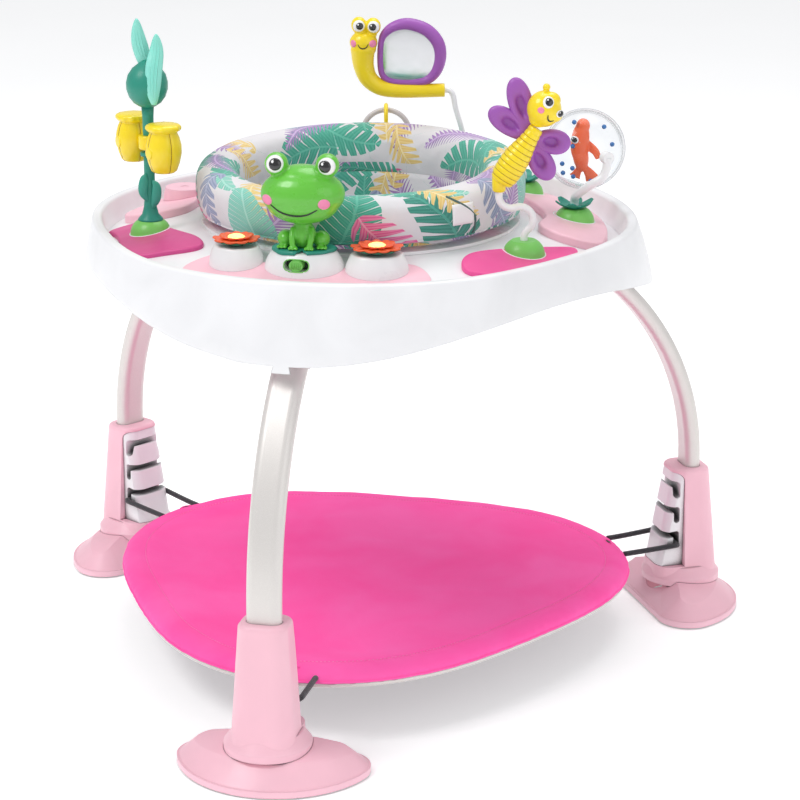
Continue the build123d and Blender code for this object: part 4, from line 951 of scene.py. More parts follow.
def make_mat():
    """The bounce mat: a stuffed rim round a slightly lower middle."""
    sides = 132
    start_gap = 2.5
    low, top = MAT_LOW + 0.4, MAT_TOP - start_gap
    profile = [(-215, top - 6), (-150, top - 6), (-90, top - 5.5), (-60, top - 4.5), (-40, top - 3.2),
               (-28, top - 2), (-18, top - 1), (-10, top - 1.2), (-4, top - 4), (-0.5, top - 9),
               (0, (top + low) / 2), (-3, low + 4), (-9, low + 0.5), (-18, low), (-60, low), (-120, low),
               (-215, low)]
    rows = []
    for inset, height in profile:
        rows.append([out_from_middle(angle, max(20.0, mat_edge(angle) - start_gap + inset), height)
                     for angle in turns(sides)])
    mat = mesh_object("mat_cover", grid(rows, cap_start=True, cap_end=True))
    inflate(mat, voxel=6.5, pressure=3.0, cap=3.2)
    crease_in, crease_deep, crease_wide = 34.0, 1.1, 4.0
    for vertex in mat.data.vertices:
        place = vertex.co / MM
        r = math.hypot(place.x, place.y)
        inset = mat_edge(math.atan2(place.x, -place.y)) - r
        pucker = noise.noise(Vector((place.x / 46, place.y / 46, 0.0)))
        if place.z > (MAT_LOW + MAT_TOP) / 2:
            crease = crease_deep * math.exp(-((inset - crease_in) / crease_wide) ** 2)
            vertex.co.z += MM * (0.7 * pucker - crease)
        vertex.co.z = min(max(vertex.co.z, (MAT_LOW - 2) * MM), (MAT_TOP + 3) * MM)
    finish(mat, "mat_fabric", "mat", ["mat_pad"])
    return Surface(mat)


def make_mat_details(surface):
    """Edge piping, a row of stitches inside it, and a hemmed slit at each corner."""
    edge_height, stitch_inset, slit_inset = MAT_LOW + 8, 34, 20
    stitch_angle, slit_angle, slit_steps = 0.0075, 0.055, 24
    above = 200

    def top_point(angle, inset):
        start = out_from_middle(angle, mat_edge(angle) - inset, above)
        point, normal = surface.hit(start, (0, 0, -1))
        return point + normal * 0.1

    path = []
    for angle in turns(240):
        away = out_from_middle(angle)
        point, normal = surface.hit(away * 400 + Vector((0, 0, edge_height)), -away)
        path.append(point + normal * 0.2)
    piece("mat_piping", bar(path, 1.4, 8, closed=True), "mat_fabric", "mat")
    stitches = Shape()
    for angle in turns(420):
        a, b = top_point(angle, stitch_inset), top_point(angle + stitch_angle, stitch_inset)
        stitches += bar([a, (a + b) / 2 + Vector((0, 0, 0.15)), b], 0.4, 5)
    piece("mat_stitches", stitches, "stitch_pink", "mat")
    for name, leg in LEG_ANGLES.items():
        turn = math.radians(leg + 90)
        slit = [top_point(turn + (i / slit_steps - 0.5) * slit_angle, slit_inset)
                for i in range(slit_steps + 1)]
        dark = bar(slit, lambda s: 0.3 + 1.5 * math.sin(math.pi * s), 8, flat=0.35, flat_dir=(0, 0, 1))
        piece(f"mat_slit_{name}", dark, "line_black", "mat")
        for word, side in (("in", -1), ("out", 1)):
            hem = []
            for i, p in enumerate(slit):
                open_by = 0.6 + 2.0 * math.sin(math.pi * i / slit_steps)
                hem.append(p + out_from_middle(turn) * side * open_by + Vector((0, 0, 0.2)))
            piece(f"mat_hem_{name}_{word}", bar(hem, 0.8, 6), "mat_fabric", "mat")


def make_cords():
    """Each elastic loop runs from the mat, round its hook rack and back."""
    cord_r, hook_r, mat_r = 3.0, 363.0, 299.0
    low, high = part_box("bungee_front")
    hook_z, mat_z = high.z / MM - cord_r, low.z / MM + cord_r
    spread, corner = 29.0, 5.0
    for name, leg in LEG_ANGLES.items():
        turn = Matrix.Rotation(math.radians(leg), 4, "Z")
        half = [(mat_r, spread - 2, mat_z), (mat_r + 20, spread - 1.6, mat_z + 1.2),
                (hook_r - 16, spread - 0.4, hook_z - 1.0), (hook_r - corner, spread, hook_z),
                (hook_r - 1.3, spread - 1.3, hook_z), (hook_r, spread - corner, hook_z)]
        points = half + [(x, -y, z) for x, y, z in reversed(half)]
        cord = piece(f"cord_{name}", bar(smooth_path(points, 6), cord_r, 12).at(turn), "cord", None)
        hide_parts(f"bungee_{name}")
        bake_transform(cord)


# ---------------------------------------------------------------------------
# Faces shared by the animal toys
# ---------------------------------------------------------------------------

def make_eye(name, surface, place, centre, white, pupil, body, look_at=(0.0, 0.0)):
    button(f"{name}_white", surface, place, centre, (white, white), "eye_white", body, 0.3, 1.2)
    dark = (centre[0] + look_at[0], centre[1] + look_at[1])
    button(f"{name}_pupil", surface, place, dark, (pupil, pupil), "eye_black", body, 1.2, 1.0)
    glint = (dark[0] - pupil * 0.35, dark[1] + pupil * 0.4)
    button(f"{name}_glint", surface, place, glint, (pupil * 0.22, pupil * 0.22), "eye_white", body, 1.9, 0.4)


# ---------------------------------------------------------------------------
# Frog console
# ---------------------------------------------------------------------------

def make_frog():
    neck = PIN["frog_head_turn"]
    place = toy_place(neck, FROG_TURN)
    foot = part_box("frog_body")[0].z / MM
    seat = egg((0, 1, foot + 13), (12.5, 12, 15)) + egg((0, 0, foot + 22), (9, 9, 8))
    for side in (-1, 1):
        seat += egg((side * 18, 3, foot + 8), (8.5, 11, 8.5), turn=side * 12)
        arm = smooth_path([(side * 9, -4, foot + 20), (side * 9.5, -11, foot + 11),
                           (side * 8, -14, foot + 2)])
        seat += bar(arm, lambda s: 3.6 - 0.8 * s)
        for toe in (-3.4, 0, 3.4):
            seat += egg((side * 8 + toe, -15.5, foot + 1.8), (1.7, 3.4, 1.8))
            seat += egg((side * 20 + toe * 1.1, -8.5, foot + 1.8), (1.8, 4.4, 1.8))
    fused("frog_torso", seat.at(place), "frog_green", "frame", 0.9, 3, ["frog_body"])
    head = egg((0, 0, 545), (42.5, 29, 26)) + egg((0, -1, 536), (37, 27, 21)) + egg((0, 2, 556), (33, 24, 18))
    for side in (-1, 1):
        head += egg((side * 25.5, -4, 575), (12, 12, 12))
    skin = fused("frog_face", head.at(place), "frog_green", "frog_top", 1.3, 8, ["frog_head"])
    surface = Surface(skin)
    eye, pupil, cheek = 8.6, 5.7, (5.6, 5.4)
    make_eye("frog_eye_left", surface, place, (-25.5, 576.5), eye, pupil, "frog_top", (0.6, 0.2))
    make_eye("frog_eye_right", surface, place, (26, 575.5), eye, pupil, "frog_top", (-1.2, 0.2))
    for side, spot in (("left", (-33, 541.5)), ("right", (24.5, 539.5))):
        button(f"frog_cheek_{side}", surface, place, spot, cheek, "cheek_pink", "frog_top", 0.3, 1.0)
    smile = [(-29, 537), (-19, 531), (-6, 528), (7, 529), (18, 534)]
    drawn_line("frog_smile", surface, place, smile, 1.0, "line_black", "frog_top")


def make_lily():
    """The lily leaf under the frog: two lobes with a V notch between them, lying over the dome."""
    place = toy_place(box_centre("lily_leaf"), FROG_TURN)
    dome = Surface(frame["nodes"]["console_shell"])
    thickness, gap = 2.4, 0.7
    half_wide, half_deep, notch_half = 33.0, 26.5, math.radians(11)
    rings, sides = 12, 96
    rows = []
    for i in range(1, rings + 1):
        share = i / rings
        row = []
        for angle in turns(sides):
            from_front = abs(math.remainder(angle + math.pi / 2, 2 * math.pi))
            notch = 0.55 + 0.45 * min(1.0, from_front / notch_half) ** 0.8
            reach = share * min(1.0, notch + (1 - notch) * (1 - share))
            ruffle = 0.4 * math.sin(9 * angle) * share ** 4
            flat = Vector((half_wide * reach * math.cos(angle), half_deep * reach * math.sin(angle), 0))
            above = place @ flat
            point, _ = dome.hit((above.x, above.y, 520), (0, 0, -1))
            row.append((flat.x, flat.y, point.z + thickness + gap + ruffle))
        rows.append(row)
    leaf = thicken(mesh_object("lily_pad", grid(rows, cap_start=True).at(place)), thickness)
    finish(leaf, "teal_plastic", "frame", ["lily_leaf"])


def make_switch_details():
    """A dark recess behind the slider, a green rim, five generic dots above it and grip ribs."""
    centre = box_centre("mode_switch")
    shell = Surface(frame["nodes"]["console_shell"])
    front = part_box("mode_switch")[0].y / MM
    squareness = (0.6, 0.8)
    recess = pillow(lambda a: oblong(a, 12.2, 5.3, *squareness),
                    [(0.85, 0.0), (0.9, 0.3), (1.0, 0.0), (1.0, -1.0), (0.85, -1.2)])
    behind = Matrix.Translation((centre.x, front + 10, centre.z))
    piece("switch_recess", recess.at(behind), "slot_dark", "frame")
    rim = []
    rim_front, rim_back, past_the_wall = -229.5, -226.0, -215
    for a in turns(48):
        wide, high = oblong(a, 13.0, 5.9, *squareness)
        x, z = centre.x + wide, centre.z + high
        point, _ = shell.hit((x, -260, z), (0, 1, 0))
        rim.append(Vector((x, max(point.y, rim_front) if point.y < past_the_wall else rim_back, z)))
    piece("switch_rim", bar(rim, 0.6, 8, closed=True), "green_plastic", "frame")
    place = Matrix.Translation((centre.x, 0, 0))
    dot_pitch, dot_height, rib_pitch, rib_half = 3.8, centre.z + 8.6, 2.2, 3.2
    ribs = Shape()
    for i in range(-2, 3):
        button(f"switch_dot_{i + 2}", shell, place, (i * dot_pitch, dot_height), (1.0, 0.8),
               "green_plastic", "frame", 0.0, 0.5)
        x = centre.x + i * rib_pitch
        ribs += bar([Vector((x, front - 0.1, centre.z - rib_half)), Vector((x, front - 0.4, centre.z)),
                     Vector((x, front - 0.1, centre.z + rib_half))], 0.55, 8)
    piece("switch_grips", ribs, "green_plastic", "switch")


def flower_ring(count, shift, reaches, points, width, thickness, cup=0.0, steps=4):
    """Petals round a flower: points are (share of the reach, height) from the middle outwards."""
    petals = Shape()
    half_x, half_y = reaches
    for turn in turns(count):
        whole = turn + shift
        out = Vector((math.cos(whole), math.sin(whole), 0))
        reach = half_x * abs(math.cos(turn)) ** 2 + half_y * abs(math.sin(turn)) ** 2
        path = smooth_path([out * (reach * share) + Vector((0, 0, z)) for share, z in points], steps)
        petals += blade(path, width, thickness, cup, (0, 0, 1))
    return petals


def make_flower(side):
    """A press button shaped like an open flower with a lit centre."""
    body = f"flower_{side}"
    low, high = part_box(f"flower_button_{side}")
    reaches = ((high.x - low.x) / 2 / MM, (high.y - low.y) / 2 / MM)
    rise = high.z / MM - 8.0
    place = toy_place(box_centre(f"flower_button_{side}"), FROG_TURN)
    count = 9
    between = math.pi / count
    calyx = flower_ring(count, 0, reaches, ((0.15, rise + 0.5), (0.5, rise + 0.6), (0.8, rise + 0.6),
                                            (0.93, rise + 1.2)), petal_width(7.5, 0.18, 0.8, 0.7), 1.6)
    petals = flower_ring(count, between, reaches, ((0.1, rise + 2.6), (0.45, rise + 2.0), (0.8, rise + 1.9),
                                                   (1.04, rise + 3.4)),
                         petal_width(8.6, 0.16, 0.8, 0.6), 1.8, 0.14, 5)
    petals += flower_ring(count, between, reaches, ((0.1, rise + 4.0), (0.35, rise + 3.6), (0.6, rise + 4.6),
                                                    (0.72, rise + 6.0)),
                          petal_width(5.6, 0.16, 0.8, 0.6), 1.4, 0.16)
    piece(f"flower_calyx_{side}", calyx.at(place), "pine_plastic", body, [f"flower_button_{side}"])
    piece(f"flower_petals_{side}", petals.at(place), "petal_orange", body)
    stem = lathe([(7.9, rise - 14), (7.9, rise - 0.3), (12, rise), (13.5, rise + 1.6), (12, rise + 3.4)])
    piece(f"flower_stem_{side}", stem.at(place), "pine_plastic", body)
    dome = lathe([(9.0, rise + 3), (8.6, rise + 4.8), (7, rise + 6.2), (4, rise + 7.2), (1.2, rise + 7.6)],
                 36, lambda a, z: 1 + 0.05 * math.sin(count * a))
    piece(f"flower_centre_{side}", dome.at(place), "flower_glow", body)


# ---------------------------------------------------------------------------
# Leaf toy
# ---------------------------------------------------------------------------

def make_leaf_toy():
    place = toy_place(LEAF_BASE)
    foot = LEAF_BASE.z + BASE_HEIGHT
    stalk_r = 5.6
    stem = lathe([(10, foot - 1), (13.5, foot), (12.8, foot + 1.6), (8.8, foot + 6), (6.8, foot + 14),
                  (stalk_r, foot + 26), (stalk_r, 530), (stalk_r, 570), (stalk_r + 0.4, 590),
                  (stalk_r + 1.2, 602)])
    collar = lathe([(4, 547.5), (8.6, 547.5), (9, 549), (9, 550.6), (8.6, 551.5), (4, 551.5)])
    piece("leaf_stem", stem.at(place) + collar.at(place), "teal_plastic", "frame", ["leaf_stalk"])
    profile = [(4, 598.5), (9, 600.3), (14.5, 604), (19, 610), (21.6, 618), (21.8, 625), (19.8, 633),
               (15, 640), (8, 645.4), (2, 648.5)]
    dent = lambda a, z: 1 - 0.02 * math.exp(-((a - 4.9) / 0.05) ** 2)
    bulb = piece("leaf_bulb", lathe(profile, 64, dent).at(place), "teal_plastic", "frame")
    # Painted shade: a dark line laid along the bulb's dent.
    seam = [(0.0, 647.5), (3.2, 643), (6.4, 634), (6.8, 622), (7.4, 610), (9.4, 602)]
    drawn_line("leaf_bulb_groove_shade", Surface(bulb), place, seam, 0.6, "pine_plastic", "frame")
    for name, side, low, high, out in (("left", -1, 500, 529, 7.0), ("right", 1, 492, 522, 10.0)):
        middle = (low + high) / 2
        path = smooth_path([(side * 2, -4.5, low), (side * 6.5, -6, middle - 5),
                            (side * out * 0.75, -6, middle + 8), (side * 3.5, -5, high)], 6)
        leaf = blade(path, petal_width(5.2, 0.05, 0.94, 0.7), 3.0, cup=-0.12)
        piece(f"leaf_leaflet_{name}", leaf.at(place), "teal_leaf", "frame")
    tall = smooth_path([(0, 2, 638), (-4.5, 1, 655), (-8.0, 0, 672), (-9.0, -1, 691.5)], 8)
    short = smooth_path([(8.5, -19.5, 605), (8, -21.5, 622), (9, -17, 642), (11.5, -10, 660),
                         (11.5, -7, 676.5)], 8)
    back_leaf = blade(tall, petal_width(8.4, 0.12, 0.87, 0.6), 2.6, cup=-0.22)
    piece("leaf_blade_tall", back_leaf.at(place), "aqua_leaf", "frame", ["top_leaves"])
    front_leaf = blade(short, petal_width(9.0, 0.04, 0.95, 0.6), 2.4, cup=-0.2)
    piece("leaf_blade_front", front_leaf.at(place), "aqua_leaf", "frame")
    ribs = Shape()
    for path, shifts in ((tall, (-0.45, 0.0, 0.45)), (short, (-0.5, 0.0, 0.5))):
        for shift in shifts:
            line = []
            for i, p in enumerate(path[3:-3]):
                half = 7.0 * math.sin(math.pi * min(1.0, 0.1 + 0.8 * (i + 3) / len(path)))
                line.append(p + Vector((shift * half, -1.2 + 0.6 * abs(shift), 0)))
            ribs += bar(line, lambda s: 0.25 + 0.5 * math.sin(math.pi * s), 6)
    piece("leaf_ribs", ribs.at(place), "aqua_leaf", "frame")
    make_pots()


def make_pots():
    """Two honey pots on a bar that turns round the stem."""
    pin = PIN["pots_turn"]
    reach = 35.0
    turn = Matrix.Translation((pin.x, pin.y, 0)) @ Matrix.Rotation(math.radians(-45), 4, "Z")
    hub = lathe([(6.1, pin.z - 7.5), (9.6, pin.z - 7.5), (10.6, pin.z - 6), (10.6, pin.z + 6),
                 (9.6, pin.z + 7.5), (6.1, pin.z + 7.5)])
    arm = bar([Vector((x, 0, pin.z - 1)) for x in (-reach + 8, -12, 12, reach - 8)], 5.0, 16,
              flat=0.85, flat_dir=(0, 1, 0))
    fused("pot_hub", (hub + arm).at(turn), "yellow_plastic", "pots", 0.9, 3, ["honey_pots"])

    def grooves(angle, height):
        scallop = 0.03 * math.cos(12 * angle) if height > 17.5 else 0
        return 1 - 0.06 * max(0.0, math.cos(4 * angle)) ** 20 + scallop

    profile = [(6, -26), (11, -25.6), (13.5, -23.5), (16.6, -15), (18.7, -5), (18.6, 3), (16.6, 11),
               (14.6, 15.5), (14.2, 17), (16.6, 18), (18.2, 20), (18.2, 22.4), (16.8, 24.2), (13.0, 25),
               (7.0, 25.4), (2.0, 25.6)]
    for name, side in (("near", 1), ("far", -1)):
        middle = turn @ Matrix.Translation((side * reach, 0, pin.z))
        piece(f"pot_{name}", lathe(profile, 72, grooves).at(middle), "yellow_plastic", "pots")
        # Painted shade: darker amber lines laid in the pot's four grooves.
        groove_shade_lines = Shape()
        for a in turns(4):
            line = [Vector((r * 0.945 * math.cos(a), r * 0.945 * math.sin(a), z)) for r, z in profile[1:9]]
            groove_shade_lines += bar(smooth_path(line, 3), 0.34, 6)
        piece(f"pot_groove_shade_{name}", groove_shade_lines.at(middle), "painted_groove_shade", "pots")
        label = pillow(lambda a: (6.5 * math.cos(a), 6.5 * math.sin(a)),
                       [(0.3, 1.0), (0.7, 1.0), (0.95, 0.8), (1.0, 0.2), (1.0, -0.8)], 40)
        face = Matrix.Translation(Vector((pin.x, pin.y, 0)) + turn.to_3x3() @ Vector((side * reach, 0, 0)))
        face = face @ Matrix.Rotation(TOY_TURN - math.radians(56 if side > 0 else 62), 4, "Z")
        face = face @ Matrix.Translation((0, -17.6, pin.z - 4))
        piece(f"pot_face_{name}", label.at(face), "yellow_plastic", "pots")


# ---------------------------------------------------------------------------
# Dragonfly toy
# ---------------------------------------------------------------------------

def make_dragonfly():
    place = toy_place(DRAGONFLY_BASE)
    tail, neck = Vector((-25.0, 0, 541.0)), Vector((11.0, 0, 597.0))
    axis = neck - tail
    length = axis.length
    lean = math.degrees(math.atan2(axis.x, axis.z))
    outline = [(7, 0), (11, 2), (13.2, 8), (14.2, 18), (14.0, 28), (12.4, 38), (10.0, 48), (8.2, 58),
               (7.2, length)]
    groove_pitch = 5.6
    profile = []
    for p in smooth_path([(r, 0, z) for r, z in outline], 10):
        rib = 0.9 * abs(math.sin(math.pi * p.z / groove_pitch)) ** 0.5
        profile.append((p.x + rib - 0.6, p.z))
    trunk_place = place @ Matrix.Translation(tail) @ Matrix.Rotation(math.radians(lean), 4, "Y")
    piece("dragonfly_trunk", lathe(profile, 48).at(trunk_place), "yellow_plastic", "dragonfly",
          ["dragonfly_body"])
    # Painted shade: darker amber rings laid in the trunk's grooves.
    trunk_groove_shade = Shape()
    for i in range(1, int(length / groove_pitch)):
        height = i * groove_pitch
        radius = min(profile, key=lambda p: abs(p[1] - height))[0] + 0.05
        ring = [Vector((radius * math.cos(a), radius * math.sin(a), height)) for a in turns(48)]
        trunk_groove_shade += bar(ring, 0.32, 6, closed=True)
    piece("dragonfly_groove_shade", trunk_groove_shade.at(trunk_place), "painted_groove_shade", "dragonfly")
    socket = Matrix.Translation((PIN["dragonfly_swivel"].x, PIN["dragonfly_swivel"].y, 0))
    cup = lathe([(4.0, 532), (5.6, 532), (6.8, 534), (7.2, 540), (7.2, 548), (5, 551)], 32)
    piece("dragonfly_socket", cup.at(socket), "yellow_plastic", "dragonfly")
    head = egg((18.5, 0, 617), (17.5, 17, 18.5)) + egg((25, -4, 626), (10, 9, 9))
    head += egg((29, -4, 612), (8, 8, 8)) + egg((14, 0, 607), (11, 11, 9))
    head += bar([Vector((19, 0, 630)), Vector((20, -1, 638))], 2.6)
    head += egg((20.5, -1, 639), (4, 4, 4))
    skin = fused("dragonfly_face", head.at(place), "yellow_plastic", "dragonfly", 0.9, 6)
    surface = Surface(skin)
    make_eye("dragonfly_eye_left", surface, place, (22, 626), 5.6, 3.9, "dragonfly", (0.6, 0.2))
    make_eye("dragonfly_eye_right", surface, place, (33.6, 613.5), 3.6, 2.7, "dragonfly", (0.2, 0.0))
    button("dragonfly_cheek", surface, place, (14.5, 618.5), (3.4, 3.2), "cheek_pink", "dragonfly", 0.2, 0.8)
    smile = [(21.6, 613.5), (21.6, 609.4), (23.6, 606.8), (27.4, 607.0)]
    drawn_line("dragonfly_smile", surface, place, smile, 0.8, "line_black", "dragonfly")
    make_wings(place)


def make_wings(place):
    """Four soft wings with raised rims round sunken ovals."""
    roots = {"top_left": ((4, 590), (-12, 647), 14.5), "low_left": ((6, 585), (-36, 615), 14.5),
             "top_right": ((6, 585), (46, 579), 15), "low_right": ((3, 583), (27, 543), 14.5)}
    rings = [(0.08, -1.2), (0.22, -1.1), (0.30, -0.4), (0.36, 1.6), (0.42, 3.2), (0.52, 4.0), (0.66, 4.4),
             (0.80, 4.2), (0.92, 3.2), (0.99, 1.4), (1.01, 0.0), (0.99, -1.8), (0.92, -3.2), (0.7, -3.9),
             (0.3, -3.9)]
    stands_for = ["dragonfly_wings"]
    for name, (root, tip, half) in roots.items():
        along = Vector((tip[0] - root[0], 0, tip[1] - root[1]))
        length = along.length
        tilt = math.degrees(math.atan2(along.x, along.z))

        def outline(a, length=length, half=half):
            z = math.sin(a)
            return half * math.cos(a) * (0.84 + 0.16 * z), length * 0.5 * z

        middle = Vector(((root[0] + tip[0]) / 2, 7.5, (root[1] + tip[1]) / 2))
        hold = place @ Matrix.Translation(middle) @ Matrix.Rotation(math.radians(tilt), 4, "Y")
        piece(f"dragonfly_wing_{name}", pillow(outline, rings, 64).at(hold), "purple_plastic", "dragonfly",
              stands_for)
        stands_for = ()


# ---------------------------------------------------------------------------
# Fish ball toy
# ---------------------------------------------------------------------------

def make_fish():
    place = toy_place(FISH_BASE)
    x, y, z = 6.0, 20.0, 541.5
    fish = egg((x, y, z + 8), (10, 9, 22), turn=6) + egg((x + 1, y, z - 8), (8.5, 8, 17), turn=-8)
    fish += egg((x + 3, y, z + 25), (7.5, 7.5, 8))
    tail_right = smooth_path([(x + 3, y, z - 18), (x + 10, y, z - 26), (x + 14, y, z - 33)], 5)
    tail_left = smooth_path([(x + 2, y, z - 18), (x - 3, y, z - 27), (x - 5, y, z - 31)], 5)
    fin = smooth_path([(x + 8, y, z + 4), (x + 16, y - 3, z - 2), (x + 20, y - 4, z - 10)], 5)
    fish += blade(tail_right, lambda s: 3 + 5 * s, 3.0)
    fish += blade(tail_left, lambda s: 3 + 4 * s, 3.0)
    fish += blade(fin, lambda s: 5.5 - 2 * s, 2.6)
    skin = fused("fish_skin", fish.at(place), "orange_plastic", "ball", 0.9, 4, ["fish_figure"])
    surface = Surface(skin)
    make_eye("fish_eye", surface, place, (x - 6, z + 11), 4.0, 2.8, "ball")
    beads = Shape()
    bead_r = 2.6
    centre = Vector((11, y, z))
    for bead_x, bead_z in ((-12, 30), (-13, 4), (-24, -15), (-23, -25), (-13, -20), (-12, -29), (7, -34),
                           (24, -22), (29, 6), (20, 25)):
        beads += egg(centre + Vector((bead_x, -6, bead_z)), (bead_r, bead_r, bead_r), sides=20)
    piece("ball_bead_set", beads.at(place), "blue_plastic", "ball", ["ball_beads"])
    low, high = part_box("fish_ball")
    radius = (high.z - low.z) / 2 / MM
    band = [centre + Vector((radius * math.cos(a), 0, radius * math.sin(a))) for a in turns(96)]
    piece("ball_seam", bar(band, 0.45, 8, closed=True).at(place), "clear_rim", "ball")


def make_petals():
    """Teal petals cupped round the foot of the fish arm and the snail wire."""
    stands_for = ["petal_collars"]
    for name, base in (("fish", FISH_BASE), ("snail", SNAIL_BASE)):
        place = toy_place(base)
        low = base.z + BASE_HEIGHT
        petals = lathe([(5.2, low + 0.2), (9, low + 0.4), (9.6, low + 2.2), (6, low + 3.4), (5.0, low + 3.2)])
        count = 6
        for i in range(count):
            turn = 2 * math.pi * (i + 0.3) / count
            out = Vector((math.cos(turn), math.sin(turn), 0))
            path = smooth_path([out * r + Vector((0, 0, low + z)) for r, z in
                                ((5, 1.6), (11, 2.4), (17, 5.2), (21, 8.6))], 5)
            petals += blade(path, petal_width(6.6, 0.2, 0.74, 0.6), 1.6, cup=0.16, normal=(0, 0, 1))
        piece(f"petals_{name}", petals.at(place), "teal_plastic", "frame", stands_for)
        stands_for = ()


# ---------------------------------------------------------------------------
# Snail toy, link ring and toy base rims
# ---------------------------------------------------------------------------

def make_snail():
    place = toy_place(SNAIL_BASE)
    tail_z = PIN["snail_tip"].z
    path = smooth_path([(-89, 0, tail_z), (-110, 0, tail_z - 0.5), (-140, 0, tail_z - 0.5),
                        (-160, 0, tail_z + 3), (-173, 0, tail_z + 13), (-178.5, 0, tail_z + 28),
                        (-179.5, 0, tail_z + 46)], 8)
    trunk = bar(path, lambda s: 7.6 + 6.0 * s ** 2.2, 28)
    trunk += egg((-178.5, 0, 637), (15.5, 13.5, 12.5)) + egg((-178.5, -1, 630), (14, 12.5, 10))
    for x, z in ((-183.5, 656), (-168.0, 655)):
        trunk += egg((x, -1, z), (8.6, 8.2, 9.5)) + egg((x, 0, z - 8), (4.5, 4.5, 6))
    skin = fused("snail_skin", trunk.at(place), "yellow_plastic", "snail", 1.0, 3, ["snail_body"])
    surface = Surface(skin)
    make_eye("snail_eye_left", surface, place, (-183.5, 656), 6.4, 3.7, "snail", (0.8, 0.2))
    make_eye("snail_eye_right", surface, place, (-167.5, 655), 6.4, 3.7, "snail", (-0.8, 0.2))
    button("snail_cheek_left", surface, place, (-189.5, 637), (3.0, 4.0), "cheek_pink", "snail", 0.2, 0.7)
    button("snail_cheek_right", surface, place, (-168.4, 637), (3.8, 4.0), "cheek_pink", "snail", 0.2, 0.7)
    smile = [(-184.6, 636.6), (-182.4, 633.2), (-179, 632), (-175.4, 633.4), (-173.2, 637)]
    drawn_line("snail_smile", surface, place, smile, 0.7, "line_black", "snail")
    ring = smooth_path([(-159, 0, 638), (-152.5, 0, 649.5), (-141, 0, 656), (-127, 0, 657), (-109, 0, 650.5),
                        (-97, 0, 637), (-94, 0, 621), (-98.5, 0, 605), (-109, 0, 595), (-126, 0, 592.5),
                        (-146, 0, 593.5), (-156.5, 0, 599), (-160, 0, 612)], 8, closed=True)

    def width(share):
        return 3.4 + 3.6 * math.sin(math.pi * min(1.0, share / 0.7)) ** 0.9

    shell = bar(ring, width, 20, closed=True)
    squeeze = Matrix.Diagonal((1, 1.15, 1, 1))
    piece("snail_shell_rim", shell.at(place @ squeeze), "purple_plastic", "snail", ["snail_shell"])
    middle = Vector((-127, 0, 626))

    def outline(a):
        direction = Vector((math.cos(a), 0, math.sin(a)))
        best = max(ring, key=lambda p: (p - middle).normalized().dot(direction))
        return (best - middle).x, (best - middle).z

    rings = [(0.3, 1.6), (0.7, 1.5), (0.9, 1.2), (1.0, 0.8), (1.0, -0.8), (0.7, -1.5), (0.3, -1.6)]
    glass = pillow(outline, rings, 72).at(place @ Matrix.Translation(middle))
    piece("snail_mirror_glass", glass, "mirror_face", "snail", ["snail_mirror"])


def make_link():
    """The yellow teether link that hangs on the loop."""
    low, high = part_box("link_ring")
    centre = box_centre("link_ring")
    radius = (high.z - low.z) / 2 / MM - 2.4
    level = Vector((-math.sin(TOY_TURN), math.cos(TOY_TURN), 0))
    ring = [centre + level * radius * math.cos(a) + Vector((0, 0, radius * math.sin(a))) for a in turns(64)]
    piece("toy_link", bar(ring, 2.35, 14, closed=True), "yellow_plastic", "link", ["link_ring"])


def make_base_rims():
    """A thin white ring round each toy base, which follows the pad's surface: a painted highlight on the edge
    of the pad round the base.
    """
    radius, sunk = 22.2, 0.35
    for name, base, pad in (("leaf", LEAF_BASE, "pad_left"), ("dragonfly", DRAGONFLY_BASE, "pad_right"),
                            ("fish", FISH_BASE, "pad_back_right"), ("snail", SNAIL_BASE, "pad_back_right")):
        surface = Surface(frame["nodes"][pad])
        path = []
        for a in turns(72):
            above = Vector((base.x + radius * math.cos(a), base.y + radius * math.sin(a), 520))
            point, _ = surface.hit(above, (0, 0, -1))
            path.append(point - Vector((0, 0, sunk)))
        piece(f"base_rim_{name}", bar(path, 0.8, 8, closed=True), "white_part", "frame")


# ---------------------------------------------------------------------------
# Stage
# ---------------------------------------------------------------------------

def make_floor():
    half = 6.0
    mesh = bpy.data.meshes.new("floor")
    corners = [(-half, -half, 0), (half, -half, 0), (half, half, 0), (-half, half, 0)]
    mesh.from_pydata(corners, [], [(0, 1, 2, 3)])
    ground = Look("floor_paint")
    ground.set(Base_Color=ground.mix(ground.noise(3, 2), rgb("FBFBFB"), rgb("FFFFFF")), Roughness=0.9,
               Emission_Color=rgb("FFFFFF"), Emission_Strength=0.28)
    floor = add_object("floor", mesh)
    mesh.materials.append(ground.material)


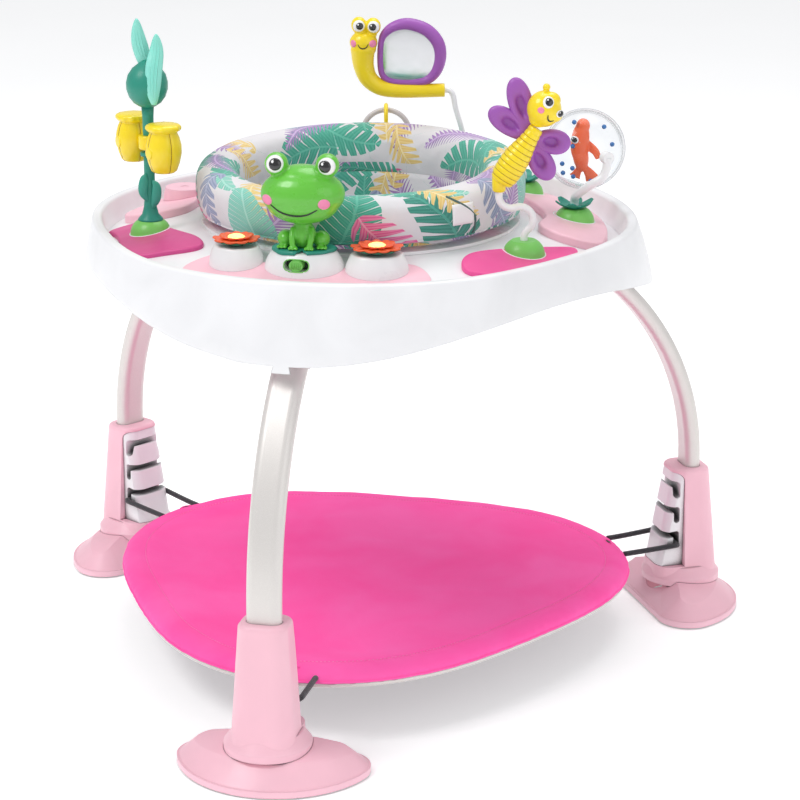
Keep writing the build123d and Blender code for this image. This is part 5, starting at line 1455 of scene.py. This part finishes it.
def make_world():
    """A pale backdrop that lights the object less brightly than the camera sees it."""
    world = bpy.data.worlds.new("studio")
    world.use_nodes = True
    bpy.context.scene.world = world
    nodes, links = world.node_tree.nodes, world.node_tree.links
    backdrop = nodes["Background"]
    backdrop.inputs[0].default_value = (0.97, 0.98, 1.0, 1.0)
    seen = nodes.new("ShaderNodeLightPath")
    level = nodes.new("ShaderNodeMapRange")
    level.inputs["To Min"].default_value = 0.58
    level.inputs["To Max"].default_value = 1.05
    links.new(seen.outputs["Is Camera Ray"], level.inputs["Value"])
    links.new(level.outputs[0], backdrop.inputs[1])


def make_lights():
    # each light: place (m), width of its disk (m), power (W)
    lights = {"key": ((-1.6, -1.6, 3.2), 1.6, 46), "fill": ((2.6, -1.6, 1.6), 2.4, 12),
              "top": ((0.3, 0.9, 3.2), 2.2, 34)}
    target = Vector((0, 0, 0.4))
    for name, (spot, width, power) in lights.items():
        lamp = bpy.data.lights.new(name, "AREA")
        lamp.shape = "DISK"
        lamp.size = width
        lamp.energy = power
        holder = add_object(name, lamp)
        holder.location = spot
        holder.rotation_euler = (target - Vector(spot)).to_track_quat("-Z", "Y").to_euler()


def make_camera():
    """The camera at the photograph's viewing angle."""
    view = bpy.data.cameras.new("photo_view")
    view.lens = 122.9
    view.sensor_width = 36.0
    camera = add_object("photo_view", view)
    azimuth, distance, height = math.radians(14.2811), 2.835, 1.1474
    pitch, yaw = math.radians(17.1774), math.radians(-0.8379)
    camera.location = (distance * math.sin(azimuth), -distance * math.cos(azimuth), height)
    camera.rotation_euler = (math.pi / 2 - pitch, 0, azimuth + yaw)
    bpy.context.scene.camera = camera


def make_stage():
    make_floor()
    make_world()
    make_lights()
    make_camera()
    bpy.context.scene.view_settings.view_transform = "Standard"


def make_everything():
    make_looks()
    dress_cad_nodes()
    make_mat_details(make_mat())
    make_cords()
    make_seat_details(make_bolster())
    make_sling()
    make_frog()
    make_lily()
    make_switch_details()
    make_flower("left")
    make_flower("right")
    make_leaf_toy()
    make_dragonfly()
    make_fish()
    make_petals()
    make_snail()
    make_link()
    make_base_rims()
    make_stage()


make_everything()
